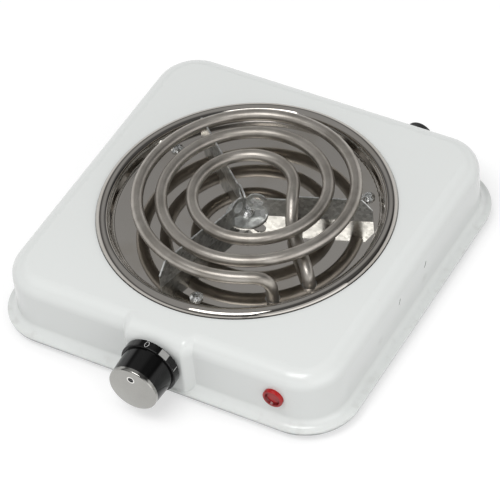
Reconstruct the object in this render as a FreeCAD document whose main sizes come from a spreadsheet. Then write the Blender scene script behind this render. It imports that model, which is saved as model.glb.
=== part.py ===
import FreeCAD, Part
import math
import os

import Sketcher
from types import SimpleNamespace

# A single-coil electric hot plate in millimetres, +Z up, front towards -Y.
# Every piece is drawn round the burner's own upright axis. One shift along Y then
# brings the middle of the whole object's footprint to the origin, on the table.

SIZES = {
    # housing
    "wall_half": 108.6,
    "corner_radius": 26.0,
    "top_height": 45.8,
    "shell_sheet": 0.8,
    "shoulder_radius": 10.0,
    "flare_radius": 5.4,
    "lip_width": 1.0,
    "hole_clearance": 0.7,
    "slit_length": 3.4,
    "slit_width": 0.9,
    "slit_lean": 2.2,
    "slit_drop": 16.1,
    "slit_front": -17.0,
    "slit_rear": 15.7,
    # base plate, feet and the lugs that hold the plate
    "foot_height": 5.6,
    "foot_radius": 8.0,
    "foot_taper": 1.5,
    "foot_place": 86.0,
    "foot_stem": 2.9,
    "foot_barb": 4.0,
    "base_sheet": 0.8,
    "base_gap": 0.8,
    "base_inset": 0.5,
    "panel_half": 58.0,
    "panel_corner": 14.0,
    "panel_rise": 1.6,
    "panel_slope_angle": 40.0,
    "vent_length": 44.0,
    "vent_width": 4.0,
    "vent_pitch": 12.0,
    "vent_count": 7.0,
    "dimple_radius": 2.6,
    "lug_sheet": 1.0,
    "lug_width": 14.0,
    "lug_reach": 15.0,
    "lug_height": 13.0,
    "lug_offset": 50.0,
    "small_screw": 1.5,
    "small_head": 3.0,
    "small_head_height": 1.9,
    "small_screw_length": 4.6,
    # drip pan and what clamps it
    "pan_depth": 4.8,
    "pan_sheet": 0.7,
    "bead_radius": 4.6,
    "bead_place": 16.0,
    "bead_rise": 3.4,
    "pan_lean_angle": 15.0,
    "pan_fillet": 1.8,
    "screw_circle": 3.0,
    "screw_angle": 35.0,
    "screw_radius": 2.0,
    "screw_head": 4.0,
    "screw_head_height": 2.6,
    "screw_length": 9.0,
    "nut_flats": 7.0,
    "nut_height": 3.2,
    "clip_sheet": 1.2,
    "clip_width": 12.0,
    "clip_inner": 8.0,
    "clip_step": 15.0,
    "clip_foot": 5.6,
    # heating coil
    "tube_radius": 3.7,
    "coil_lift": 16.0,
    "coil_radius": 69.0,
    "coil_start": -67.0,
    "coil_step": 3.03,
    "coil_growth": 0.26,
    "coil_quarter_count": 11.0,
    "coil_right": 4.0,
    "coil_back": 3.8,
    "outer_run": 16.5,
    "inner_run": 9.0,
    "inner_slope_run": 13.0,
    "leg_drop": 8.6,
    "leg_circle": 0.5,
    "leg_angle": -30.0,
    "leg_bend": 9.0,
    "leg_tail": 10.3,
    "leg_hole_clearance": 0.7,
    "plate_margin": 3.5,
    "bead_length": 6.0,
    "bead_wall": 2.6,
    "pin_radius": 1.4,
    "pin_length": 12.0,
    # coil support
    "arm_sheet": 1.0,
    "arm_right_angle": 19.6,
    "arm_rear_angle": 140.3,
    "arm_front_angle": 257.2,
    "arm_inner": 11.0,
    "arm_inner_height": 13.8,
    "arm_reach": 6.0,
    "arm_end_height": 9.0,
    "arm_finger": 1.0,
    "eye_place": 6.7,
    "eye_height": 10.7,
    "eye_radius": 6.3,
    "eye_hole": 3.9,
    "notch_clearance": 0.3,
    "hub_radius": 12.5,
    "hub_sheet": 1.0,
    "hub_head": 4.6,
    "hub_head_height": 3.0,
    # knob and thermostat
    "knob_right": 1.0,
    "knob_drop": 18.0,
    "knob_gap": 7.4,
    "skirt_radius": 17.7,
    "skirt_depth": 5.2,
    "skirt_rim": 2.0,
    "barrel_root": 16.1,
    "barrel_tip": 15.4,
    "barrel_length": 15.2,
    "knob_wall": 2.2,
    "knob_front_wall": 4.6,
    "knob_boss": 6.5,
    "knob_boss_setback": 1.5,
    "cap_thickness": 2.6,
    "cap_edge": 1.1,
    "cap_spigot": 4.0,
    "cap_spigot_length": 2.4,
    "dot_radius": 1.7,
    "dot_core": 1.0,
    "dot_depth": 0.35,
    "dot_place": 8.0,
    "shaft_radius": 3.0,
    "shaft_flat": 2.2,
    "shaft_grip": 15.0,
    "shaft_collar": 4.8,
    "shaft_pin": 1.8,
    "running_fit": 0.06,
    "bush_radius": 4.5,
    "bush_length": 5.0,
    "bush_nut_flats": 13.0,
    "bush_nut_height": 2.5,
    "frame_sheet": 1.2,
    "frame_half_width": 13.0,
    "frame_below": 3.4,
    "frame_above": 1.0,
    "stack_drop": 12.0,
    "spacer_radius": 4.5,
    "spacer_long": 6.0,
    "spacer_short": 4.0,
    "rivet_radius": 1.5,
    "rivet_head": 3.0,
    "rivet_head_height": 1.4,
    "leaf_sheet": 0.5,
    "leaf_width": 8.0,
    "leaf_height": 21.0,
    "leaf_tab": 18.0,
    "leaf_gap": 0.3,
    "contact_radius": 2.0,
    "contact_height": 1.7,
    "bimetal_sheet": 0.8,
    "bimetal_length": 25.0,
    # pilot lamp
    "lamp_inset": 6.8,
    "lamp_drop": 19.5,
    "lens_radius": 6.3,
    "lens_proud": 2.4,
    "lens_dish": 1.4,
    "lens_ring": 1.7,
    "lens_barrel": 4.8,
    "lens_wall": 1.1,
    "lens_length": 10.0,
    "lamp_bulb": 2.5,
    "bulb_gap": 0.5,
    "lamp_plug": 4.0,
    "lamp_lead": 0.6,
    "lamp_lead_pitch": 4.0,
    "lamp_lead_length": 4.0,
    "clip_width_round": 1.9,
    "clip_ring_sheet": 0.6,
    # cord bush in the rear wall
    "gland_right": 55.0,
    "gland_drop": 18.8,
    "gland_radius": 9.5,
    "gland_tip": 8.4,
    "gland_proud": 7.4,
    "gland_neck": 6.4,
    "gland_inner": 8.0,
    "gland_inner_length": 4.0,
    "gland_bore": 3.6,
    # terminal block and earth stud
    "block_right": 28.0,
    "block_back": 86.0,
    "block_length": 36.0,
    "block_depth": 18.0,
    "block_height": 13.0,
    "block_screw_head": 2.7,
    "insert_pitch": 11.0,
    "insert_radius": 2.6,
    "insert_bore": 1.5,
    "insert_height": 7.6,
    "terminal_screw": 1.3,
    "terminal_head": 2.0,
    "terminal_head_height": 1.6,
    "earth_left": 12.0,
    "earth_stud": 8.4,
    "fit": 0.1,
    # insulated leads
    "lead_radius": 1.3,
    "thin_lead_radius": 0.9,
    "lead_bend": 14.0,
    "lead_run": 12.0,
    "lead_step": 2.0,
    "lead_lean": 2.0,
    "lead_sag": 0.5,
    "neutral_right": 78.0,
    "neutral_back": 24.0,
    "neutral_front": 22.0,
    "live_left": 38.0,
    "live_back": 20.0,
    "live_front": 46.0,
    "switched_left": 8.0,
    "switched_front": 6.0,
    "lamp_joint_rise": 4.0,
}

# Shares of a size that shape small details
HEAD_RIM = 0.35
HEAD_CROWN = 0.55
CROSS_REACH = 0.85
CROSS_WIDTH = 0.4
CROSS_DEPTH = 0.5
LUG_HOLE = 0.6
SKIRT_EDGE = 0.3
RIVET_CROWN = 0.6
INNER_LEG_EASE = 4 / 3

doc = FreeCAD.newDocument("hot_plate")
sheet = doc.addObject("Spreadsheet::Sheet", "dims")
for row, (alias, number) in enumerate(SIZES.items(), start=1):
    sheet.set(f"A{row}", alias)
    sheet.set(f"B{row}", str(number))
    sheet.setAlias(f"B{row}", alias)
doc.recompute()


class Size:
    """A number and the sheet expression that gives it, carried together."""

    def __init__(self, number, text):
        self.number = number
        self.text = text

    def __add__(self, other):
        other = as_size(other)
        return Size(self.number + other.number, f"({self.text} + {other.text})")

    def __sub__(self, other):
        other = as_size(other)
        return Size(self.number - other.number, f"({self.text} - {other.text})")

    def __mul__(self, other):
        other = as_size(other)
        return Size(self.number * other.number, f"({self.text} * {other.text})")

    def __truediv__(self, other):
        other = as_size(other)
        return Size(self.number / other.number, f"({self.text} / {other.text})")

    def __neg__(self):
        return Size(-self.number, f"(0 - {self.text})")

    __radd__ = __add__
    __rmul__ = __mul__


def as_size(value):
    """A plain number as a Size."""
    return value if isinstance(value, Size) else Size(float(value), f"{float(value):.9f}")


def root(size):
    """Square root of a Size."""
    return Size(math.sqrt(size.number), f"sqrt({size.text})")


def cosine(angle):
    """Cosine of an angle in degrees."""
    return Size(math.cos(math.radians(angle.number)), f"cos({angle.text} * 1 deg)")


def sine(angle):
    """Sine of an angle in degrees."""
    return Size(math.sin(math.radians(angle.number)), f"sin({angle.text} * 1 deg)")


dim = SimpleNamespace(**{alias: Size(float(sheet.get(alias)), f"dims.{alias}") for alias in SIZES})
Vector = FreeCAD.Vector
nodes = []

# Heights and reaches that several pieces share.
plate_under = dim.foot_height
plate_top = plate_under + dim.base_sheet
lip_under = plate_top + dim.base_gap
lip_top = lip_under + dim.shell_sheet
lip_half = dim.wall_half + dim.flare_radius + dim.lip_width
lip_corner = dim.corner_radius + dim.flare_radius + dim.lip_width
wall_inside = dim.wall_half - dim.shell_sheet
shoulder_half = dim.wall_half - dim.shoulder_radius
# The dish, its screws and clips, the inner leg and the blades all follow the coil's outer turn
bead_circle = dim.coil_radius + dim.bead_place
screw_ring = dim.coil_radius + dim.screw_circle
clip_bend = dim.coil_radius + dim.clip_step
leg_ring = dim.coil_radius + dim.leg_circle
arm_end = dim.coil_radius + dim.arm_reach
top_under = dim.top_height - dim.shell_sheet
pan_floor = dim.top_height - dim.pan_depth
pan_under = pan_floor - dim.pan_sheet
bead_centre = dim.top_height + dim.bead_rise - dim.bead_radius
coil_height = pan_floor + dim.coil_lift
shoulder_low = dim.top_height - dim.shoulder_radius
knob_height = dim.top_height - dim.knob_drop
lamp_height = dim.top_height - dim.lamp_drop
lamp_right = dim.wall_half - dim.corner_radius - dim.lamp_inset
gland_height = dim.top_height - dim.gland_drop
skirt_back = dim.wall_half + dim.knob_gap
skirt_front = skirt_back + dim.skirt_depth
barrel_front = skirt_front + dim.barrel_length
cap_front = barrel_front + dim.cap_thickness
gland_back = dim.wall_half + dim.gland_proud
frame_shift = (cap_front - gland_back) / 2
frame_back = wall_inside - dim.frame_sheet
leg_end = pan_under - dim.leg_tail
pin_end = leg_end - dim.pin_length


# Document helpers

def bind(item, prop, size):
    """Ties a property to the sheet."""
    item.setExpression(prop, as_size(size).text)


def new_body(label, turn=None):
    """A body with its own label, set over the burner axis and turned about it."""
    body = doc.addObject("PartDesign::Body", label)
    body.Label = label
    body.AllowCompound = True
    bind(body, ".Placement.Base.y", frame_shift)
    if turn is not None:
        bind(body, ".Placement.Rotation.Angle", turn)
    nodes.append(body)
    return body


def origin_part(body, role):
    """One of the body's own origin planes or axes."""
    return next(item for item in body.Origin.OriginFeatures if item.Role == role)


def new_sketch(body, name, plane, place=(0, 0, 0), turn=0.0):
    """A sketch on an origin plane, moved by place in the plane's own axes and turned about its Y."""
    sketch = body.newObject("Sketcher::SketchObject", name)
    sketch.AttachmentSupport = [(origin_part(body, plane), "")]
    sketch.MapMode = "FlatFace"
    turned = FreeCAD.Rotation(Vector(0, 1, 0), turn)
    sketch.AttachmentOffset = FreeCAD.Placement(Vector(0, 0, 0), turned)
    for axis, size in zip("xyz", place):
        bind(sketch, f".AttachmentOffset.Base.{axis}", size)
    return sketch


def hold(sketch, kind, *where):
    """Adds a dimension whose last argument is a Size and ties it to the sheet."""
    *targets, size = where
    index = sketch.addConstraint(Sketcher.Constraint(kind, *targets, size.number))
    bind(sketch, f"Constraints[{index}]", size)


def arc_to(x, y, centre_x, centre_y, left):
    """An outline's stretch that reaches (x, y) round a centre, to the left or to the right."""
    return (x, y, centre_x, centre_y, left)


def half_turn(x, y, centre_x, centre_y, left):
    """A half circle from (x, y) round a centre, as two quarter arcs."""
    centre_x, centre_y = as_size(centre_x), as_size(centre_y)
    across, along = as_size(x) - centre_x, as_size(y) - centre_y
    way = 1.0 if left else -1.0
    return (
        arc_to(centre_x - along * way, centre_y + across * way, centre_x, centre_y, left),
        arc_to(centre_x - across, centre_y - along, centre_x, centre_y, left),
    )


def draw_arc(start, end, centre, left):
    """The arc of a circle from start to end; a right turn is stored the other way round."""
    first, last = (start, end) if left else (end, start)
    angles = [math.atan2(point.y - centre.y, point.x - centre.x) for point in (first, last)]
    if angles[1] <= angles[0]:
        angles[1] += 2 * math.pi
    circle = Part.Circle(centre, Vector(0, 0, 1), (start - centre).Length)
    return Part.ArcOfCircle(circle, *angles)


def outline(sketch, *stretches):
    """A closed outline: each stretch is (x, y) for a straight line or an arc_to."""
    stretches = [tuple(as_size(v) if i < 4 else v for i, v in enumerate(item)) for item in stretches]
    ends = [Vector(item[0].number, item[1].number, 0) for item in stretches]
    tail = []
    for index, item in enumerate(stretches):
        start, end = ends[index - 1], ends[index]
        if len(item) == 2:
            geometry = sketch.addGeometry(Part.LineSegment(start, end), False)
            tail.append((geometry, 1, 2))
            continue
        centre = Vector(item[2].number, item[3].number, 0)
        geometry = sketch.addGeometry(draw_arc(start, end, centre, item[4]), False)
        tail.append((geometry, 1, 2) if item[4] else (geometry, 2, 1))
    for index, item in enumerate(stretches):
        geometry, begin, finish = tail[index]
        before = tail[index - 1]
        sketch.addConstraint(Sketcher.Constraint("Coincident", before[0], before[2], geometry, begin))
        hold(sketch, "DistanceX", geometry, finish, item[0])
        hold(sketch, "DistanceY", geometry, finish, item[1])
        if len(item) > 2:
            across = item[0] - item[2]
            along = item[1] - item[3]
            hold(sketch, "Radius", geometry, root(across * across + along * along))


def circle(sketch, x, y, radius):
    """A circle held by its centre and radius."""
    x, y, radius = as_size(x), as_size(y), as_size(radius)
    centre = Vector(x.number, y.number, 0)
    geometry = sketch.addGeometry(Part.Circle(centre, Vector(0, 0, 1), radius.number), False)
    hold(sketch, "DistanceX", geometry, 3, x)
    hold(sketch, "DistanceY", geometry, 3, y)
    hold(sketch, "Radius", geometry, radius)


def rectangle(sketch, left, low, right, high):
    """A rectangle between two corners."""
    outline(sketch, (right, low), (right, high), (left, high), (left, low))


def rounded_square(sketch, half, radius):
    """A square with rounded corners, begun in the middle of its +X side."""
    half, radius = as_size(half), as_size(radius)
    flat = half - radius
    outline(
        sketch,
        (half, 0),
        (half, flat), arc_to(flat, half, flat, flat, True),
        (-flat, half), arc_to(-half, flat, -flat, flat, True),
        (-half, -flat), arc_to(-flat, -half, -flat, -flat, True),
        (flat, -half), arc_to(half, -flat, flat, -flat, True),
    )


def hexagon(sketch, x, y, flats):
    """A hexagon by its width across flats."""
    x, y, flats = as_size(x), as_size(y), as_size(flats)
    side = flats / math.sqrt(3)
    corners = []
    for step in range(6):
        angle = math.radians(60 * step)
        corners.append((x + side * math.cos(angle), y + side * math.sin(angle)))
    outline(sketch, *corners)


def feature(body, kind, name, profile):
    """A PartDesign feature on a profile."""
    item = body.newObject(f"PartDesign::{kind}", name)
    item.Profile = profile
    return item


def pad(body, profile, length, reverse=False, both=False, name="pad"):
    """A pad along the sketch's normal, against it, or half each way."""
    item = feature(body, "Pad", name, profile)
    bind(item, "Length", length)
    item.Reversed = reverse
    item.SideType = "Symmetric" if both else "One side"
    return item


def pocket(body, profile, length, reverse=False, both=False, name="pocket"):
    """A pocket that has to take material away."""
    doc.recompute()
    before = body.Shape.Volume
    item = feature(body, "Pocket", name, profile)
    bind(item, "Length", length)
    item.Reversed = reverse
    item.SideType = "Symmetric" if both else "One side"
    doc.recompute()
    if body.Shape.Volume > before - 1e-6:
        raise RuntimeError(f"{body.Label}: {name} cuts nothing")
    return item


def turned(body, profile, name="turned"):
    """A revolution about the sketch's own upright axis."""
    item = feature(body, "Revolution", name, profile)
    item.ReferenceAxis = (profile, ["V_Axis"])
    item.Angle = 360
    return item


def ring_of(body, originals, count, name="ring"):
    """Copies of features round the burner axis."""
    doc.recompute()
    item = body.newObject("PartDesign::PolarPattern", name)
    item.Originals = originals
    item.Axis = (origin_part(body, "Z_Axis"), [""])
    item.Angle = 360
    item.Occurrences = count
    body.Tip = item
    return item


def shaped(label, shape):
    """A piece whose shape is worked out directly, set over the burner axis."""
    item = doc.addObject("Part::Feature", label)
    item.Label = label
    item.Shape = shape
    bind(item, ".Placement.Base.y", frame_shift)
    nodes.append(item)
    return item


# Round-section tubes on straight runs and tangent arcs

def corner_arc(before, corner, after, radius):
    """The tangent arc that rounds one corner of a route."""
    into = (corner - before).normalize()
    out = (after - corner).normalize()
    turn = into.getAngle(out)
    reach = radius * math.tan(turn / 2)
    start = corner - into * reach
    end = corner + out * reach
    inward = (out - into).normalize()
    middle = corner + inward * (radius / math.cos(turn / 2) - radius)
    return Part.Arc(start, middle, end).toShape(), start, end


def rounded_route(points, radii):
    """Edges of a route whose inner corners are rounded."""
    edges = []
    here = points[0]
    for index, radius in enumerate(radii, start=1):
        arc, start, end = corner_arc(points[index - 1], points[index], points[index + 1], radius)
        edges.append(Part.LineSegment(here, start).toShape())
        edges.append(arc)
        here = end
    edges.append(Part.LineSegment(here, points[-1]).toShape())
    return edges


def tube(edges, radius):
    """A solid round bar along a smooth chain of edges."""
    spine = Part.Wire(edges)
    first = edges[0]
    start = first.valueAt(first.FirstParameter)
    along = first.tangentAt(first.FirstParameter)
    section = Part.Wire([Part.Circle(start, along, radius).toShape()])
    solid = Part.BRepOffsetAPI.MakePipeShell(spine)
    solid.add(section)
    solid.build()
    solid.makeSolid()
    shape = solid.shape()
    expected = math.pi * radius ** 2 * spine.Length
    if abs(shape.Volume - expected) > 0.01 * expected:
        raise RuntimeError("a tube's volume is not its section times its length")
    return shape


def easy_radii(points, most):
    """Corner radii as large as the neighbouring runs allow, up to a limit."""
    radii = []
    for before, corner, after in zip(points, points[1:], points[2:]):
        into, out = corner - before, after - corner
        shorter = min(into.Length, out.Length)
        radii.append(min(most, 0.45 * shorter / math.tan(into.getAngle(out) / 2)))
    return radii


# The coil's centre line: quarter arcs that meet on a shared tangent, each tighter than the last

def coil_arcs():
    """Centre, radius and start angle of each quarter arc, clockwise from the outer end."""
    centre = Vector(dim.coil_right.number, dim.coil_back.number, coil_height.number)
    radius = dim.coil_radius.number
    angle = dim.coil_start.number
    arcs = []
    for quarter in range(round(dim.coil_quarter_count.number)):
        arcs.append((Vector(centre), radius, angle))
        angle -= 90.0
        tighter = dim.coil_step.number + dim.coil_growth.number * quarter
        centre = centre + around(angle) * tighter
        radius -= tighter
    return arcs


def around(angle):
    """Unit vector at an angle in degrees about the upright axis."""
    return Vector(math.cos(math.radians(angle)), math.sin(math.radians(angle)), 0)


def coil_route():
    """Named points of the coil's two legs, from the arcs' ends."""
    arcs = coil_arcs()
    centre, radius, angle = arcs[0]
    start = centre + around(angle) * radius
    outer_hole = start + around(angle + 90) * dim.outer_run.number
    centre, radius, angle = arcs[-1]
    inner_end = centre + around(angle - 90) * radius
    heading = around(angle - 180)
    crest = inner_end + heading * dim.inner_run.number
    low = Vector(0, 0, -dim.leg_drop.number)
    trough = crest + heading * dim.inner_slope_run.number + low
    inner_hole = around(dim.leg_angle.number) * leg_ring.number
    inner_hole.z = trough.z
    return SimpleNamespace(
        start=start, outer_hole=outer_hole, inner_end=inner_end,
        crest=crest, trough=trough, inner_hole=inner_hole,
    )


def dropped(point, height):
    """The same place at another height."""
    return Vector(point.x, point.y, height)


def crossings(angle):
    """Radii at which the coil's centre line crosses an upright plane through the axis."""
    way = around(angle)
    found = []
    for centre, radius, start in coil_arcs():
        flat = dropped(centre, 0)
        along = way.dot(flat)
        inside = radius ** 2 - flat.Length ** 2 + along ** 2
        if inside <= 0:
            continue
        reach = along + math.sqrt(inside)
        from_centre = way * reach - flat
        swept = (start - math.degrees(math.atan2(from_centre.y, from_centre.x))) % 360
        if swept < 90:
            found.append(reach)
    route = coil_route()
    side = Vector(-way.y, way.x, 0)
    before, after = route.inner_end.dot(side), route.crest.dot(side)
    if before * after < 0:
        meet = route.inner_end + (route.crest - route.inner_end) * (before / (before - after))
        found.append(dropped(meet, 0).dot(way))
    return sorted(found)


# Housing and base

def build_housing():
    body = new_body("housing")
    flat = dim.wall_half - dim.corner_radius
    section = new_sketch(body, "wall_section", "XZ_Plane", (flat, 0, -flat))
    wall = dim.corner_radius
    inside = wall - dim.shell_sheet
    shoulder = wall - dim.shoulder_radius
    low = shoulder_low
    bend = lip_top + dim.flare_radius
    flare = wall + dim.flare_radius
    lip = flare + dim.lip_width
    outline(
        section,
        (0, dim.top_height),
        (0, top_under),
        (shoulder, top_under),
        arc_to(inside, low, shoulder, low, False),
        (inside, bend),
        arc_to(flare, lip_under, flare, bend, True),
        (lip, lip_under),
        (lip, lip_top),
        (flare, lip_top),
        arc_to(wall, bend, flare, bend, False),
        (wall, low),
        arc_to(shoulder, dim.top_height, shoulder, low, True),
    )
    side = pad(body, section, flat * 2, name="pressed_side")
    corner = turned(body, section, name="pressed_corner")
    corner.Angle = 90
    ring_of(body, [side, corner], 4, name="four_sides")
    top = new_sketch(body, "top_outline", "XY_Plane", (0, 0, dim.top_height))
    rectangle(top, -flat, -flat, flat, flat)
    pad(body, top, dim.shell_sheet, reverse=True, name="top_sheet")
    opening = new_sketch(body, "top_opening", "XY_Plane", (0, 0, dim.top_height))
    circle(opening, 0, 0, hole_radius())
    pocket(body, opening, dim.shell_sheet, name="opening_cut")
    front = new_sketch(body, "front_holes", "XZ_Plane")
    circle(front, dim.knob_right, knob_height, dim.bush_radius + dim.fit)
    circle(front, lamp_right, lamp_height, dim.lens_barrel + dim.fit)
    pocket(body, front, lip_half, reverse=True, name="front_cut")
    rear = new_sketch(body, "rear_hole", "XZ_Plane")
    circle(rear, dim.gland_right, gland_height, dim.gland_neck + dim.fit)
    pocket(body, rear, lip_half, name="rear_cut")
    slits = new_sketch(body, "side_slits", "YZ_Plane")
    low = dim.top_height - dim.slit_drop - dim.slit_length / 2
    for place in (dim.slit_front, dim.slit_rear):
        foot = place - dim.slit_lean / 2
        head = place + dim.slit_lean / 2
        outline(
            slits,
            (foot + dim.slit_width, low), (head + dim.slit_width, low + dim.slit_length),
            (head, low + dim.slit_length), (foot, low),
        )
    pocket(body, slits, lip_half, reverse=True, name="slit_cut")


def hole_radius():
    """The top's round opening clears the outside of the pan's leaning wall."""
    lean = dim.bead_radius * cosine(dim.pan_lean_angle)
    return bead_circle - lean + dim.pan_sheet + dim.hole_clearance


def lug_screw_place():
    return wall_inside - dim.lug_reach * LUG_HOLE


def build_base():
    body = new_body("base_plate")
    half = lip_half - dim.base_inset
    flat = new_sketch(body, "plate_outline", "XY_Plane", (0, 0, plate_under))
    rounded_square(flat, half, lip_corner - dim.base_inset)
    pad(body, flat, dim.base_sheet, name="plate_sheet")
    panel = new_sketch(body, "panel_outline", "XY_Plane", (0, 0, plate_top))
    rounded_square(panel, dim.panel_half, dim.panel_corner)
    raised = pad(body, panel, dim.panel_rise, name="raised_panel")
    bind(raised, "TaperAngle", -dim.panel_slope_angle)
    hollow = new_sketch(body, "panel_hollow", "XY_Plane", (0, 0, plate_under))
    rounded_square(hollow, dim.panel_half - dim.base_sheet, dim.panel_corner - dim.base_sheet)
    under = pocket(body, hollow, dim.panel_rise, reverse=True, name="panel_underside")
    bind(under, "TaperAngle", -dim.panel_slope_angle)
    dimples = new_sketch(body, "dimple_outline", "XY_Plane", (0, 0, plate_top))
    middle = (lip_half - lip_corner) + (lip_corner - dim.flare_radius / 2) * math.sqrt(0.5)
    for side_x in (1, -1):
        for side_y in (1, -1):
            circle(dimples, middle * side_x, middle * side_y, dim.dimple_radius)
    pad(body, dimples, dim.base_gap, name="stand_off_dimples")
    holes = new_sketch(body, "fastener_holes", "XY_Plane", (0, 0, plate_under))
    for quarter in range(4):
        way = around(90 * quarter)
        place, offset = lug_screw_place(), dim.lug_offset
        circle(
            holes,
            place * way.x - offset * way.y, place * way.y + offset * way.x,
            dim.small_screw + dim.fit * 3,
        )
    for side_x in (1, -1):
        for side_y in (1, -1):
            circle(holes, dim.foot_place * side_x, dim.foot_place * side_y, dim.foot_stem + dim.fit)
    circle(holes, -dim.earth_left, dim.block_back, dim.screw_radius + dim.fit)
    circle(holes, block_screw_place(), dim.block_back, dim.small_screw + dim.fit)
    pocket(body, holes, dim.base_sheet, reverse=True, name="hole_cut")
    vents = new_sketch(body, "vent_slots", "XY_Plane", (0, 0, plate_under))
    rows = round(dim.vent_count.number)
    straight = (dim.vent_length - dim.vent_width) / 2
    radius = dim.vent_width / 2
    for row in range(rows):
        y = dim.vent_pitch * (row - (rows - 1) / 2)
        outline(
            vents,
            (straight, y - radius), *half_turn(straight, y - radius, straight, y, True),
            (-straight, y + radius), *half_turn(-straight, y + radius, -straight, y, True),
        )
    pocket(body, vents, dim.panel_rise + dim.base_sheet, reverse=True, name="vent_cut")


def build_feet():
    body = new_body("feet", turn=as_size(45))
    profile = new_sketch(body, "foot_profile", "XZ_Plane", (dim.foot_place * math.sqrt(2), 0, 0))
    outline(
        profile,
        (0, 0),
        (dim.foot_radius - dim.foot_taper, 0),
        (dim.foot_radius, plate_under),
        (dim.foot_stem, plate_under),
        (dim.foot_stem, plate_top),
        (dim.foot_barb, plate_top),
        (dim.foot_stem - dim.fit * 4, plate_top + dim.foot_barb),
        (0, plate_top + dim.foot_barb),
    )
    ring_of(body, [turned(body, profile)], 4)


def build_lugs():
    body = new_body("base_lugs")
    profile = new_sketch(body, "lug_profile", "XZ_Plane", (0, 0, -dim.lug_offset))
    inner = wall_inside - dim.lug_reach
    seat = plate_top + dim.lug_sheet
    outline(
        profile,
        (inner, plate_top),
        (wall_inside, plate_top),
        (wall_inside, plate_top + dim.lug_height + dim.flare_radius),
        (wall_inside - dim.lug_sheet, plate_top + dim.lug_height + dim.flare_radius),
        (wall_inside - dim.lug_sheet, seat),
        (inner, seat),
    )
    angle = pad(body, profile, dim.lug_width, both=True, name="lug_angle")
    hole = new_sketch(body, "lug_hole", "XY_Plane", (0, 0, plate_top))
    circle(hole, lug_screw_place(), dim.lug_offset, dim.small_screw + dim.fit / 2)
    drilled = pocket(body, hole, dim.lug_sheet, reverse=True, name="lug_drill")
    ring_of(body, [angle, drilled], 4)


def screw_outline(profile, seat, shank, length, head, head_height, up=True):
    """Half profile of a domed screw whose head sits on a seat, head up or head down."""
    way = 1.0 if up else -1.0
    rim = head_height * HEAD_RIM
    outline(
        profile,
        (0, seat - length * way),
        (shank, seat - length * way),
        (shank, seat),
        (head, seat),
        (head, seat + rim * way),
        (head * HEAD_CROWN, seat + head_height * way),
        (0, seat + head_height * way),
    )


def cross_recess(body, x, y, seat, head, head_height, up=True):
    """Cross slot in the crown of a screw head at (x, y)."""
    way = 1.0 if up else -1.0
    reach = head * HEAD_CROWN * CROSS_REACH
    half = reach * CROSS_WIDTH / 2
    cross = new_sketch(body, "cross_slot", "XY_Plane", (x, y, seat + head_height * way))
    outline(
        cross,
        (reach, -half), (reach, half), (half, half), (half, reach), (-half, reach), (-half, half),
        (-reach, half), (-reach, -half), (-half, -half), (-half, -reach), (half, -reach),
        (half, -half),
    )
    return pocket(body, cross, head_height * CROSS_DEPTH, reverse=not up, name="cross_cut")


def build_base_screws():
    body = new_body("base_screws")
    profile = new_sketch(
        body, "screw_profile", "XZ_Plane", (lug_screw_place(), 0, -dim.lug_offset))
    screw_outline(
        profile, plate_under, dim.small_screw, dim.small_screw_length,
        dim.small_head, dim.small_head_height, up=False)
    screw = turned(body, profile)
    slot = cross_recess(
        body, lug_screw_place(), dim.lug_offset, plate_under, dim.small_head,
        dim.small_head_height, up=False)
    ring_of(body, [screw, slot], 4)


# Drip pan and its clamps

def pan_turn():
    """Place where the pan's leaning wall leaves its floor, as centre and ends of the fillet."""
    lean_cos, lean_sin = cosine(dim.pan_lean_angle), sine(dim.pan_lean_angle)
    wall_top = bead_circle - dim.bead_radius * lean_cos
    wall_top_height = bead_centre + dim.bead_radius * lean_sin
    centre_height = pan_floor + dim.pan_fillet
    foot_height = centre_height - dim.pan_fillet * lean_sin
    fall = wall_top_height - foot_height
    foot = wall_top - fall * lean_sin / lean_cos
    centre = foot - dim.pan_fillet * lean_cos
    return SimpleNamespace(
        lean_cos=lean_cos, lean_sin=lean_sin, wall_top=wall_top, wall_top_height=wall_top_height,
        centre=centre, centre_height=centre_height, foot=foot, foot_height=foot_height,
    )


def build_pan():
    body = new_body("drip_pan")
    profile = new_sketch(body, "pan_profile", "XZ_Plane")
    turn = pan_turn()
    gauge = dim.pan_sheet
    below = bead_centre - dim.top_height
    outer_end = bead_circle + root(dim.bead_radius * dim.bead_radius - below * below)
    bore = dim.bead_radius - gauge
    inner_end = bead_circle + root(bore * bore - below * below)
    hub_hole = dim.screw_radius + dim.fit * 2
    outline(
        profile,
        (hub_hole, pan_under),
        (turn.centre, pan_under),
        arc_to(
            turn.foot + gauge * turn.lean_cos, turn.foot_height - gauge * turn.lean_sin,
            turn.centre, turn.centre_height, True),
        (turn.wall_top + gauge * turn.lean_cos, turn.wall_top_height - gauge * turn.lean_sin),
        arc_to(inner_end, dim.top_height, bead_circle, bead_centre, False),
        (outer_end, dim.top_height),
        arc_to(turn.wall_top, turn.wall_top_height, bead_circle, bead_centre, True),
        (turn.foot, turn.foot_height),
        arc_to(turn.centre, pan_floor, turn.centre, turn.centre_height, False),
        (hub_hole, pan_floor),
    )
    turned(body, profile, name="spun_pan")
    holes = new_sketch(body, "pan_holes", "XY_Plane", (0, 0, pan_under))
    for third in range(3):
        angle = dim.screw_angle + 120 * third
        circle(
            holes, screw_ring * cosine(angle), screw_ring * sine(angle),
            dim.screw_radius + dim.fit)
    route = coil_route()
    for place in (route.outer_hole, route.inner_hole):
        circle(holes, place.x, place.y, dim.tube_radius + dim.leg_hole_clearance)
    pocket(body, holes, dim.pan_sheet, reverse=True, name="hole_cut")


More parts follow.
